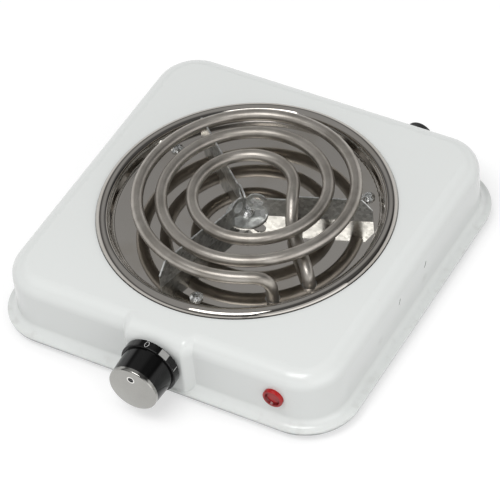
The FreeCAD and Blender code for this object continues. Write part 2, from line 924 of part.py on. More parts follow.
def build_pan_clips():
    body = new_body("pan_clips", turn=dim.screw_angle)
    profile = new_sketch(body, "clip_profile", "XZ_Plane")
    gauge = dim.clip_sheet
    inner = screw_ring - dim.clip_inner
    step = clip_bend
    foot = shoulder_half - dim.clip_foot
    outline(
        profile,
        (inner, pan_under - gauge),
        (step + gauge, pan_under - gauge),
        (step + gauge, top_under - gauge),
        (foot, top_under - gauge),
        (foot, top_under),
        (step, top_under),
        (step, pan_under),
        (inner, pan_under),
    )
    strip = pad(body, profile, dim.clip_width, both=True, name="clip_strip")
    hole = new_sketch(body, "clip_hole", "XY_Plane", (0, 0, pan_under))
    circle(hole, screw_ring, 0, dim.screw_radius + dim.fit)
    drilled = pocket(body, hole, gauge, name="clip_drill")
    ring_of(body, [strip, drilled], 3)


def build_pan_screws():
    body = new_body("pan_screws", turn=dim.screw_angle)
    profile = new_sketch(body, "screw_profile", "XZ_Plane", (screw_ring, 0, 0))
    screw_outline(
        profile, pan_floor, dim.screw_radius, dim.screw_length,
        dim.screw_head, dim.screw_head_height)
    screw = turned(body, profile)
    slot = cross_recess(
        body, screw_ring, 0, pan_floor, dim.screw_head, dim.screw_head_height)
    ring_of(body, [screw, slot], 3)


def build_pan_nuts():
    body = new_body("pan_nuts", turn=dim.screw_angle)
    seat = pan_under - dim.clip_sheet
    flats = new_sketch(body, "nut_outline", "XY_Plane", (0, 0, seat))
    hexagon(flats, screw_ring, 0, dim.nut_flats)
    circle(flats, screw_ring, 0, dim.screw_radius + dim.fit / 2)
    ring_of(body, [pad(body, flats, dim.nut_height, reverse=True)], 3)


# Heating coil and its support

def build_coil():
    route = coil_route()
    bend = dim.leg_bend.number
    bottom = leg_end.number
    outer = rounded_route([dropped(route.outer_hole, bottom), route.outer_hole, route.start], [bend])
    turns = []
    for centre, radius, angle in coil_arcs():
        points = [centre + around(angle - swept) * radius for swept in (0, 45, 90)]
        turns.append(Part.Arc(*points).toShape())
    leg = [route.inner_end, route.crest, route.trough, route.inner_hole]
    leg.append(dropped(route.inner_hole, bottom))
    inner = rounded_route(leg, [bend * INNER_LEG_EASE, bend * INNER_LEG_EASE, bend])
    edges = outer + turns + inner
    shaped("heating_coil", tube(edges, dim.tube_radius.number))
    report_gap(edges)


def report_gap(edges):
    """Prints the least gap between stretches of the coil that are not neighbours."""
    spine = Part.Wire(edges)
    step = dim.tube_radius.number / 2
    points = spine.discretize(Distance=step)
    apart = round(4 * dim.tube_radius.number / step)
    least = min(
        (points[i] - points[k]).Length
        for i in range(0, len(points))
        for k in range(i + apart, len(points))
    )
    print(f"coil: least gap to itself {least - 2 * dim.tube_radius.number:.2f} mm")


def build_element_ends():
    route = coil_route()
    legs = (route.outer_hole, route.inner_hole)
    plate = new_body("element_plate")
    strip = new_sketch(plate, "strip_outline", "XY_Plane", (0, 0, pan_under))
    between = dropped(legs[1] - legs[0], 0)
    across = between.Length
    reach = dim.tube_radius + dim.plate_margin
    middle = dropped((legs[0] + legs[1]) * 0.5, 0)
    way = between.normalize()
    side = Vector(-way.y, way.x, 0)

    def strip_point(along, off):
        return (
            middle.x + along * way.x + off * side.x,
            middle.y + along * way.y + off * side.y,
        )

    outline(
        strip,
        strip_point(across / 2, -reach),
        *half_turn(*strip_point(across / 2, -reach), *strip_point(across / 2, 0), True),
        strip_point(-across / 2, reach),
        *half_turn(*strip_point(-across / 2, reach), *strip_point(-across / 2, 0), True),
    )
    for place in legs:
        circle(strip, place.x, place.y, dim.tube_radius + dim.fit / 2)
    pad(plate, strip, dim.clip_sheet, reverse=True)
    beads = new_body("element_beads")
    rings = new_sketch(beads, "bead_rings", "XY_Plane", (0, 0, leg_end))
    for place in legs:
        circle(rings, place.x, place.y, dim.pin_radius + dim.bead_wall)
        circle(rings, place.x, place.y, dim.pin_radius + dim.fit / 2)
    pad(beads, rings, dim.bead_length, reverse=True)
    pins = new_body("element_pins")
    rods = new_sketch(pins, "pin_circles", "XY_Plane", (0, 0, leg_end))
    for place in legs:
        circle(rods, place.x, place.y, dim.pin_radius)
    pad(pins, rods, dim.pin_length, reverse=True)


def notch(reach, innermost):
    """Stretches of a blade's top edge that dip under one turn of the coil, going inwards."""
    half = dim.tube_radius + dim.notch_clearance
    crest = coil_height + dim.arm_finger
    middle = coil_height + dim.notch_clearance - dim.fit
    outer = half + reach
    dip = [(outer, crest), (outer, middle)]
    if not innermost:
        return dip + [*half_turn(outer, middle, reach, middle, False), (-half + reach, crest)]
    top = pan_floor + dim.arm_inner_height
    fall = middle - top
    end = -root(half * half - fall * fall) + reach
    return dip + [
        arc_to(reach, middle - half, reach, middle, False),
        arc_to(end, top, reach, middle, False),
    ]


def build_support():
    body = new_body("coil_support")
    hub = new_sketch(body, "hub_disc", "XY_Plane", (0, 0, pan_floor))
    circle(hub, 0, 0, dim.hub_radius)
    circle(hub, 0, 0, dim.screw_radius + dim.fit)
    pad(body, hub, dim.hub_sheet, name="hub")
    crest = coil_height + dim.arm_finger
    top = pan_floor + dim.arm_inner_height
    for arm in ("right", "rear", "front"):
        angle = getattr(dim, f"arm_{arm}_angle").number
        blade = new_sketch(body, f"{arm}_blade", "XZ_Plane", turn=angle)
        reaches = crossings(angle)
        last_finger = dim.tube_radius + dim.notch_clearance + dim.arm_finger + reaches[-1]
        edge = [
            (dim.arm_inner, pan_floor),
            (arm_end, pan_floor),
            (arm_end, pan_floor + dim.arm_end_height),
            (last_finger, crest),
        ]
        for reach in reversed(reaches):
            edge.extend(notch(reach, reach == reaches[0]))
        edge.append((dim.arm_inner, top))
        outline(blade, *edge)
        pad(body, blade, dim.arm_sheet, both=True, name=f"{arm}_blade_sheet")
        eye = new_sketch(body, f"{arm}_eye", "XZ_Plane", turn=angle)
        circle(eye, dim.eye_place, pan_floor + dim.eye_height, dim.eye_radius)
        pad(body, eye, dim.arm_sheet, both=True, name=f"{arm}_eye_sheet")
        hole = new_sketch(body, f"{arm}_eye_hole", "XZ_Plane", turn=angle)
        circle(hole, dim.eye_place, pan_floor + dim.eye_height, dim.eye_hole)
        pocket(body, hole, dim.arm_sheet, both=True, name=f"{arm}_eye_cut")


def build_hub_screw():
    body = new_body("hub_screw")
    profile = new_sketch(body, "screw_profile", "XZ_Plane")
    seat = pan_floor + dim.hub_sheet
    screw_outline(
        profile, seat, dim.screw_radius, dim.screw_length, dim.hub_head, dim.hub_head_height)
    turned(body, profile)
    cross_recess(body, 0, 0, seat, dim.hub_head, dim.hub_head_height)
    nut = new_body("hub_nut")
    flats = new_sketch(nut, "nut_outline", "XY_Plane", (0, 0, pan_under))
    hexagon(flats, 0, 0, dim.nut_flats)
    circle(flats, 0, 0, dim.screw_radius + dim.fit / 2)
    pad(nut, flats, dim.nut_height, reverse=True)


# Knob and thermostat, on an axis that runs along Y through the front wall

def knob_sketch(body, name):
    """A sketch whose upright axis is the knob's own axis."""
    return new_sketch(body, name, "XY_Plane", (dim.knob_right, 0, knob_height))


def front_sketch(body, name, reach, right=None, height=None):
    """A sketch that faces the front at a distance from the burner axis."""
    right = dim.knob_right if right is None else right
    height = knob_height if height is None else height
    return new_sketch(body, name, "XZ_Plane", (right, height, reach))


def d_section(sketch, radius, flat):
    """A round section with one flat on top."""
    half = root(radius * radius - flat * flat)
    outline(sketch, (-half, flat), arc_to(half, flat, 0, 0, True))


def build_knob():
    body = new_body("knob_body")
    profile = knob_sketch(body, "knob_profile")
    edge = dim.skirt_rim * SKIRT_EDGE
    cavity = barrel_front - dim.knob_front_wall
    boss = skirt_back + dim.knob_boss_setback
    recess = barrel_front - dim.cap_spigot_length - dim.fit
    outline(
        profile,
        (0, -recess),
        (dim.cap_spigot + dim.fit, -recess),
        (dim.cap_spigot + dim.fit, -barrel_front),
        (dim.barrel_tip, -barrel_front),
        (dim.barrel_root, -skirt_front),
        (dim.skirt_radius - edge, -skirt_front),
        arc_to(dim.skirt_radius, -(skirt_front - edge), dim.skirt_radius - edge,
               -(skirt_front - edge), True),
        (dim.skirt_radius, -skirt_back),
        (dim.skirt_radius - dim.skirt_rim, -skirt_back),
        (dim.barrel_tip - dim.knob_wall, -cavity),
        (dim.knob_boss, -cavity),
        (dim.knob_boss, -boss),
        (0, -boss),
    )
    turned(body, profile, name="moulded_knob")
    bore = front_sketch(body, "shaft_bore", boss)
    d_section(bore, dim.shaft_radius + dim.running_fit, dim.shaft_flat + dim.running_fit)
    pocket(body, bore, dim.shaft_grip, reverse=True, name="shaft_bore_cut")


def build_cap():
    body = new_body("knob_cap")
    profile = knob_sketch(body, "cap_profile")
    edge = dim.cap_edge
    outline(
        profile,
        (0, -cap_front),
        (dim.barrel_tip - edge, -cap_front),
        arc_to(dim.barrel_tip, -(cap_front - edge), dim.barrel_tip - edge, -(cap_front - edge), True),
        (dim.barrel_tip, -barrel_front),
        (dim.cap_spigot, -barrel_front),
        (dim.cap_spigot, -(barrel_front - dim.cap_spigot_length)),
        (0, -(barrel_front - dim.cap_spigot_length)),
    )
    turned(body, profile, name="cap_disc")
    dot = front_sketch(body, "pointer_dot", cap_front)
    circle(dot, 0, dim.dot_place, dim.dot_radius)
    circle(dot, 0, dim.dot_place, dim.dot_core)
    pocket(body, dot, dim.dot_depth, name="dot_cut")


def stack_layers():
    """Distances from the burner axis at which each layer of the contact stack begins."""
    bimetal = frame_back - dim.spacer_long
    second = bimetal - dim.bimetal_sheet
    contact = second - dim.spacer_short
    third = contact - dim.leaf_sheet
    fixed = third - dim.spacer_short
    fourth = fixed - dim.leaf_sheet
    return SimpleNamespace(
        bimetal=bimetal, second=second, contact=contact, third=third, fixed=fixed,
        fourth=fourth, end=fourth - dim.spacer_short,
    )


def build_shaft():
    body = new_body("thermostat_shaft")
    profile = knob_sketch(body, "shaft_profile")
    tip = skirt_back + dim.knob_boss_setback + dim.shaft_grip - dim.fit * 3
    collar = frame_back - dim.fit
    collar_end = collar - dim.shaft_pin
    pin = stack_layers().contact + dim.leaf_gap
    outline(
        profile,
        (0, -tip),
        (dim.shaft_radius, -tip),
        (dim.shaft_radius, -collar),
        (dim.shaft_collar, -collar),
        (dim.shaft_collar, -collar_end),
        (dim.shaft_pin, -collar_end),
        (dim.shaft_pin, -pin),
        (0, -pin),
    )
    turned(body, profile, name="shaft")
    flat = front_sketch(body, "shaft_flat", tip)
    over = dim.shaft_radius * 2
    rectangle(flat, -over, dim.shaft_flat, over, over)
    pocket(body, flat, dim.shaft_grip, name="flat_cut")


def build_frame():
    body = new_body("thermostat_frame")
    plate = front_sketch(body, "frame_plate", frame_back)
    half = dim.frame_half_width
    foot = plate_top + dim.frame_below - knob_height
    rectangle(plate, -half, foot, half, shoulder_low - dim.frame_above - knob_height)
    pad(body, plate, dim.frame_sheet, name="plate")
    bush = front_sketch(body, "bush_circle", wall_inside)
    circle(bush, 0, 0, dim.bush_radius)
    pad(body, bush, dim.shell_sheet + dim.bush_length, name="bush")
    bore = front_sketch(body, "bush_bore", frame_back)
    circle(bore, 0, 0, dim.shaft_radius + dim.running_fit)
    pocket(body, bore, dim.frame_sheet + dim.shell_sheet + dim.bush_length, reverse=True, name="bore")
    rivet = front_sketch(body, "rivet_hole", frame_back)
    circle(rivet, 0, -dim.stack_drop, dim.rivet_radius + dim.fit / 2)
    pocket(body, rivet, dim.frame_sheet, reverse=True, name="rivet_cut")
    nut = new_body("thermostat_nut")
    flats = front_sketch(nut, "nut_outline", dim.wall_half)
    hexagon(flats, 0, 0, dim.bush_nut_flats)
    circle(flats, 0, 0, dim.bush_radius + dim.fit / 2)
    pad(nut, flats, dim.bush_nut_height)


def build_stack():
    layers = stack_layers()
    spacers = new_body("thermostat_spacers")
    lengths = (
        (frame_back, dim.spacer_long), (layers.second, dim.spacer_short),
        (layers.third, dim.spacer_short), (layers.fourth, dim.spacer_short),
    )
    for number, (reach, length) in enumerate(lengths, start=1):
        ring = front_sketch(spacers, f"spacer_{number}", reach)
        circle(ring, 0, -dim.stack_drop, dim.spacer_radius)
        circle(ring, 0, -dim.stack_drop, dim.rivet_radius + dim.fit)
        pad(spacers, ring, length, reverse=True, name=f"spacer_{number}_ring")
    rivet = new_body("stack_rivet")
    profile = new_sketch(
        rivet, "rivet_profile", "XY_Plane",
        (dim.knob_right, 0, knob_height - dim.stack_drop))
    outline(
        profile,
        (0, -wall_inside),
        (dim.rivet_radius, -wall_inside),
        (dim.rivet_radius, -layers.end),
        (dim.rivet_head, -layers.end),
        (dim.rivet_head * RIVET_CROWN, -(layers.end - dim.rivet_head_height)),
        (0, -(layers.end - dim.rivet_head_height)),
    )
    turned(rivet, profile)


def build_leaves():
    layers = stack_layers()
    half = dim.leaf_width / 2
    foot = -dim.stack_drop - dim.spacer_radius
    bimetal = new_body("bimetal_strip")
    strip = front_sketch(bimetal, "strip_outline", layers.bimetal)
    rectangle(
        strip, -dim.spacer_radius, -dim.stack_drop - half, dim.bimetal_length, half - dim.stack_drop)
    circle(strip, 0, -dim.stack_drop, dim.rivet_radius + dim.fit)
    pad(bimetal, strip, dim.bimetal_sheet, reverse=True)
    for label, reach, side, faces_in in (
        ("contact_leaf", layers.contact, -1.0, True), ("fixed_leaf", layers.fixed, 1.0, False),
    ):
        leaf = new_body(label)
        blade = front_sketch(leaf, "leaf_outline", reach)
        tab_top = -dim.stack_drop + dim.spacer_radius / 2
        corners = [
            (half * side, foot + dim.leaf_height), (-half * side, foot + dim.leaf_height),
            (-half * side, foot), (dim.leaf_tab * side, foot),
            (dim.leaf_tab * side, tab_top), (half * side, tab_top),
        ]
        outline(blade, *corners)
        circle(blade, 0, -dim.stack_drop, dim.rivet_radius + dim.fit)
        pad(leaf, blade, dim.leaf_sheet, reverse=True, name="leaf")
        face = reach - dim.leaf_sheet if faces_in else reach
        button = front_sketch(leaf, "contact_circle", face)
        circle(button, 0, foot + dim.leaf_height - dim.contact_radius * 1.5, dim.contact_radius)
        pad(leaf, button, dim.contact_height, reverse=faces_in, name="contact")


# Pilot lamp in the front wall

def build_lamp():
    place = (lamp_right, 0, lamp_height)
    lens = new_body("lamp_lens")
    profile = new_sketch(lens, "lens_profile", "XY_Plane", place)
    face = dim.wall_half + dim.lens_proud
    back = dim.wall_half - dim.lens_length
    bore = dim.lens_barrel - dim.lens_wall
    crown = dim.lens_radius - dim.lens_ring
    rim = dim.lens_ring / 2
    outline(
        profile,
        (0, -(face - dim.lens_dish)),
        (crown - rim, -(face - dim.lens_dish)),
        (crown, -face),
        (dim.lens_radius - rim, -face),
        arc_to(dim.lens_radius, -(face - rim), dim.lens_radius - rim, -(face - rim), True),
        (dim.lens_radius, -dim.wall_half),
        (dim.lens_barrel, -dim.wall_half),
        (dim.lens_barrel, -back),
        (bore, -back),
        (bore, -(dim.wall_half - dim.lens_wall)),
        (0, -(dim.wall_half - dim.lens_wall)),
    )
    turned(lens, profile, name="moulded_lens")
    lamp = new_body("neon_lamp")
    shape = new_sketch(lamp, "lamp_profile", "XY_Plane", place)
    plug = back + dim.lamp_plug
    tip = dim.wall_half - dim.lens_wall - dim.bulb_gap
    flange = back - dim.lens_wall
    outline(
        shape,
        (0, -tip),
        arc_to(dim.lamp_bulb, -(tip - dim.lamp_bulb), 0, -(tip - dim.lamp_bulb), True),
        (dim.lamp_bulb, -plug),
        (bore - dim.fit, -plug),
        (bore - dim.fit, -back),
        (dim.lens_barrel, -back),
        (dim.lens_barrel, -flange),
        (0, -flange),
    )
    turned(lamp, shape, name="bulb")
    leads = new_sketch(lamp, "lead_circles", "XZ_Plane", (lamp_right, lamp_height, flange))
    for side in (1, -1):
        circle(leads, dim.lamp_lead_pitch / 2 * side, 0, dim.lamp_lead)
    pad(lamp, leads, dim.lamp_lead_length, reverse=True, name="leads")
    clip = new_body("lamp_clip")
    ring = new_sketch(clip, "clip_ring", "XZ_Plane", (lamp_right, lamp_height, wall_inside))
    circle(ring, 0, 0, dim.lens_barrel + dim.clip_width_round)
    circle(ring, 0, 0, dim.lens_barrel + dim.fit / 2)
    pad(clip, ring, dim.clip_ring_sheet, reverse=True)


# Mains side: bush, terminal block, earth stud

def build_gland():
    body = new_body("cord_gland")
    profile = new_sketch(body, "gland_profile", "XY_Plane", (dim.gland_right, 0, gland_height))
    outline(
        profile,
        (dim.gland_bore, wall_inside - dim.gland_inner_length),
        (dim.gland_inner - dim.fit * 5, wall_inside - dim.gland_inner_length),
        (dim.gland_inner, wall_inside),
        (dim.gland_neck, wall_inside),
        (dim.gland_neck, dim.wall_half),
        (dim.gland_radius, dim.wall_half),
        (dim.gland_tip, gland_back),
        (dim.gland_bore, gland_back),
    )
    turned(body, profile)


def insert_places():
    """Positions along X of the three ways of the terminal block."""
    return [dim.block_right + dim.insert_pitch * step for step in (-1, 0, 1)]


def block_screw_place():
    return dim.block_right - dim.insert_pitch / 2


def build_block():
    body = new_body("terminal_block")
    base = new_sketch(body, "block_outline", "XY_Plane", (0, 0, plate_top))
    half, deep = dim.block_length / 2, dim.block_depth / 2
    low, high = dim.block_back - deep, dim.block_back + deep
    rectangle(base, dim.block_right - half, low, dim.block_right + half, high)
    circle(base, block_screw_place(), dim.block_back, dim.small_screw + dim.fit)
    pad(body, base, dim.block_height, name="ceramic")
    ways = new_sketch(body, "way_circles", "XZ_Plane", (0, plate_top + dim.insert_height, -high))
    wells = new_sketch(body, "well_circles", "XY_Plane", (0, 0, plate_top + dim.block_height))
    for place in insert_places():
        circle(ways, place, 0, dim.insert_radius + dim.fit / 2)
        circle(wells, place, dim.block_back, dim.terminal_head + dim.fit)
    pocket(body, ways, dim.block_depth, reverse=True, name="way_cut")
    pocket(body, wells, dim.block_height - dim.insert_height, name="well_cut")
    inserts = new_body("terminal_inserts")
    rods = new_sketch(inserts, "insert_circles", "XZ_Plane", (0, plate_top + dim.insert_height, -high))
    drills = new_sketch(
        inserts, "screw_drills", "XY_Plane", (0, 0, plate_top + dim.insert_height + dim.insert_radius))
    for place in insert_places():
        circle(rods, place, 0, dim.insert_radius)
        circle(rods, place, 0, dim.insert_bore)
        circle(drills, place, dim.block_back, dim.terminal_screw + dim.fit / 2)
    pad(inserts, rods, dim.block_depth, name="brass")
    pocket(inserts, drills, dim.insert_radius, name="screw_hole")
    screws = new_body("terminal_screws")
    seat = plate_top + dim.insert_height + dim.insert_radius
    for number, place in enumerate(insert_places(), start=1):
        profile = new_sketch(screws, f"screw_{number}", "XZ_Plane", (place, 0, -dim.block_back))
        screw_outline(
            profile, seat, dim.terminal_screw, dim.insert_radius - dim.insert_bore,
            dim.terminal_head, dim.terminal_head_height)
        turned(screws, profile, name=f"screw_{number}_body")
    fixing = new_body("block_screw")
    profile = new_sketch(fixing, "screw_profile", "XZ_Plane", (block_screw_place(), 0, -dim.block_back))
    screw_outline(
        profile, plate_top + dim.block_height, dim.small_screw, dim.block_height + dim.base_sheet,
        dim.block_screw_head, dim.small_head_height)
    turned(fixing, profile)


def build_earth():
    stud = new_body("earth_screw")
    profile = new_sketch(stud, "stud_profile", "XZ_Plane", (-dim.earth_left, 0, -dim.block_back))
    screw_outline(
        profile, plate_under, dim.screw_radius, dim.earth_stud,
        dim.screw_head, dim.screw_head_height, up=False)
    turned(stud, profile)
    cross_recess(
        stud, -dim.earth_left, dim.block_back, plate_under, dim.screw_head,
        dim.screw_head_height, up=False)
    nut = new_body("earth_nut")
    flats = new_sketch(nut, "nut_outline", "XY_Plane", (0, 0, plate_top))
    hexagon(flats, -dim.earth_left, dim.block_back, dim.nut_flats)
    circle(flats, -dim.earth_left, dim.block_back, dim.screw_radius + dim.fit / 2)
    pad(nut, flats, dim.nut_height)


# Insulated leads inside the housing

def lead(label, points, radius):
    """One insulated lead along points, with easy bends."""
    shaped(label, tube(rounded_route(points, easy_radii(points, dim.lead_bend.number)), radius))


def build_leads():
    route = coil_route()
    layers = stack_layers()
    thick, thin = dim.lead_radius.number, dim.thin_lead_radius.number
    earth_way, live_way, neutral_way = [place.number for place in insert_places()]
    block_front = (dim.block_back - dim.block_depth / 2).number
    clamped = (dim.block_back + dim.terminal_head).number
    way_height = (plate_top + dim.insert_height).number
    floor = (plate_top + dim.panel_rise + dim.lead_radius * 2).number
    pin_foot = pin_end.number
    tab_height = (knob_height - dim.stack_drop - dim.spacer_radius / 2).number
    tab = dim.leaf_tab.number - thick * 2
    knob = dim.knob_right.number
    contact_face = -(layers.contact - dim.leaf_sheet).number
    fixed_face = -(layers.fixed - dim.leaf_sheet).number
    outer, inner = route.outer_hole, route.inner_hole
    pin_side = dim.pin_radius.number
    stud_side = dim.screw_radius.number
    stud_height = (plate_top + dim.nut_height + dim.lead_radius * 1.5).number
    run, step, lean, sag = [
        size.number for size in (dim.lead_run, dim.lead_step, dim.lead_lean, dim.lead_sag)]
    right, right_back, right_front = [
        size.number for size in (dim.neutral_right, dim.neutral_back, dim.neutral_front)]
    left, left_back, left_front = [
        size.number for size in (dim.live_left, dim.live_back, dim.live_front)]
    neutral_start = block_front - run - step * 2
    lead("neutral_wire", [
        Vector(neutral_way, clamped, way_height), Vector(neutral_way, neutral_start, way_height),
        Vector(right, right_back, floor), Vector(right - lean, -right_front, floor),
        dropped(inner, floor - sag), dropped(inner, pin_foot),
    ], thick)
    live_start = block_front - run - step * 3
    live_end = contact_face + run + step * 4
    lead("live_wire", [
        Vector(live_way, clamped, way_height), Vector(live_way, live_start, way_height),
        Vector(-left, left_back, floor), Vector(-left - lean * 3, -left_front, floor),
        Vector(knob - tab, live_end, tab_height), Vector(knob - tab, contact_face, tab_height),
    ], thick)
    switched_start = fixed_face + run + step
    beside = outer - Vector(dim.switched_left.number, dim.switched_front.number, 0)
    lead("switched_wire", [
        Vector(knob + tab, fixed_face, tab_height), Vector(knob + tab, switched_start, tab_height),
        dropped(beside, floor), dropped(outer, floor - sag), dropped(outer, pin_foot),
    ], thick)
    earth_start = block_front - run
    earth_left = -dim.earth_left.number
    lead("earth_wire", [
        Vector(earth_way, clamped, way_height), Vector(earth_way, earth_start, way_height),
        Vector(earth_left, earth_start, stud_height),
        Vector(earth_left, dim.block_back.number - stud_side, stud_height),
    ], thick)
    lamp_back = -(dim.wall_half - dim.lens_length - dim.lens_wall - dim.lamp_lead_length).number
    lamp_high = lamp_height.number
    pitch = dim.lamp_lead_pitch.number / 2
    lamp_x = lamp_right.number
    joint = pin_foot + dim.lamp_joint_rise.number
    for label, pin, x, straight in (
        ("lamp_lead_outer", outer, lamp_x - pitch, run),
        ("lamp_lead_inner", inner, lamp_x + pitch, run + step),
    ):
        lead(label, [
            Vector(x, lamp_back, lamp_high), Vector(x, lamp_back + straight, lamp_high),
            Vector(pin.x + run + step, pin.y, joint), Vector(pin.x + pin_side, pin.y, joint),
        ], thin)


def check_and_write():
    """Stops on a failed object or a bad solid, then writes one file per piece."""
    doc.recompute()
    for item in doc.Objects:
        if "Invalid" in item.State or "Error" in item.State:
            raise RuntimeError(f"{item.Label}: {item.State}")
    os.makedirs("parts", exist_ok=True)
    for item in nodes:
        shape = item.Shape
        if shape.isNull() or not shape.isValid() or not shape.Solids:
            raise RuntimeError(f"{item.Label}: no valid solid")
    for item in nodes:
        item.Shape.exportStep(f"parts/{item.Label}.step")
        print(f"{item.Label}: {len(item.Shape.Solids)} solids, {item.Shape.Volume:.0f} mm3")


build_housing()
build_base()
build_feet()
build_lugs()
build_base_screws()
build_pan()
build_pan_clips()
build_pan_screws()
build_pan_nuts()
build_coil()
build_element_ends()
build_support()
build_hub_screw()
build_knob()
build_cap()
build_shaft()
build_frame()
build_stack()
build_leaves()
build_lamp()
build_gland()
build_block()
build_earth()
build_leads()
check_and_write()
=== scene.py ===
"""Looks of a single-coil electric hot plate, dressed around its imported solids.

Each sub-assembly is a class that holds its sizes and finishes and dresses its own pieces.
All lengths are in metres, in the frame of the solids: +Z up, front towards -Y.
"""

import logging
import math
from dataclasses import dataclass, field, replace
from enum import Enum
from typing import Sequence

import bmesh
import bpy
from mathutils import Matrix, Vector


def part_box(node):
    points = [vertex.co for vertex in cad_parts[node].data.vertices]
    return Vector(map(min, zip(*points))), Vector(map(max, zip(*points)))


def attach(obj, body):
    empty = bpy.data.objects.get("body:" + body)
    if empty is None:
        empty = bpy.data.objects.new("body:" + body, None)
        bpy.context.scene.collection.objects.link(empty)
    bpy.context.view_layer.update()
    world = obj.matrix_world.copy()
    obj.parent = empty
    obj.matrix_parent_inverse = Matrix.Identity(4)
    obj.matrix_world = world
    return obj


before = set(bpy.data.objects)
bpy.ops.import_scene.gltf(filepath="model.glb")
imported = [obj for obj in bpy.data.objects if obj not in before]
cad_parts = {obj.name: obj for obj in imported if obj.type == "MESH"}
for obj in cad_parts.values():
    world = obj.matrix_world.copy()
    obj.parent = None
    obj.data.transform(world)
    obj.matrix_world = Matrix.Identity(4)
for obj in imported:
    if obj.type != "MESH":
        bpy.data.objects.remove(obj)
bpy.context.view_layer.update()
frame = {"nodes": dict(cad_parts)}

Colour = tuple[float, float, float]
Point = tuple[float, float, float]
Span = tuple[float, float]
Socket = bpy.types.NodeSocket
Feed = Socket | float | Sequence[float]

LOG = logging.getLogger("hot_plate")
MM = 0.001
BURNER_CENTRE: Point = (0.0, 11.5 * MM, 0.0)
WHITE: Colour = (1.0, 1.0, 1.0)
RISING: Span = (0.0, 1.0)
FALLING: Span = (1.0, 0.0)

# Nearly all of a noise lies between these two values.
NOISE_RANGE: Span = (0.3, 0.7)

# The axes that count in a distance from a point, or from a line along Y or Z.
ALL_ROUND: Point = (1.0, 1.0, 1.0)
ROUND_Y: Point = (1.0, 0.0, 1.0)
ROUND_Z: Point = (1.0, 1.0, 0.0)

# The Mix node has sockets of the same name for each kind of value; these are its colours.
MIX_FACTOR = 0
MIX_COLOURS = (6, 7)
MIX_RESULT = 2


class Body(Enum):
    """The two rigid bodies that pieces ride on."""

    STOVE = "stove"
    KNOB = "knob"


class Easing(Enum):
    """How a value goes from one end of a span to the other."""

    SMOOTH = "SMOOTHSTEP"
    EVEN = "LINEAR"


class Across(Enum):
    """What a noise changes along: Blender's name for it and the socket that takes it."""

    SPACE = ("3D", "Vector")
    LINE = ("1D", "W")


class DialFigure(Enum):
    """A figure printed on the knob's skirt and its turn from the top, clockwise from the front."""

    ZERO = ("0", 0.0)
    ONE = ("1", 74.0)
    TWO = ("2", 125.5)
    THREE = ("3", 177.0)
    FOUR = ("4", 228.5)
    FIVE = ("5", 280.0)

    @property
    def text(self) -> str:
        """The printed figure."""
        return self.value[0]

    @property
    def turn(self) -> float:
        """The figure's angle in radians."""
        return math.radians(self.value[1])


def put_in_scene(name: str, data: bpy.types.ID) -> bpy.types.Object:
    """Makes an object and links it to the scene.

    Args:
        name: The object's name.
        data: Its mesh, curve, camera or light.

    Returns:
        The new object.
    """
    thing = bpy.data.objects.new(name, data)
    bpy.context.scene.collection.objects.link(thing)
    return thing


def put_in_order(form: bmesh.types.BMesh) -> None:
    """Numbers a mesh's parts by place, because an extrusion's order differs from run to run.

    Args:
        form: The mesh.
    """
    for index, vertex in enumerate(sorted(form.verts, key=lambda part: part.co.to_tuple())):
        vertex.index = index
    form.verts.sort()
    for parts in (form.edges, form.faces):
        corners = {part: sorted(vertex.index for vertex in part.verts) for part in parts}
        for index, part in enumerate(sorted(parts, key=corners.get)):
            part.index = index
        parts.sort()


def smooth_step(share: float) -> float:
    """Eases a share from 0 to 1 in and out, as a pressing's edge does."""
    return share * share * (3.0 - 2.0 * share)


@dataclass(frozen=True)
class Noise:
    """Cloudy noise: its features per metre and its number of finer layers."""

    scale: float
    detail: float


@dataclass(frozen=True)
class Clouds(Noise):
    """Noise whose values between two edges are spread smoothly over a span."""

    edges: Span
    values: Span


@dataclass(frozen=True)
class Relief(Noise):
    """Noise that raises a surface by a depth in metres, of which a share shows."""

    depth: float
    strength: float


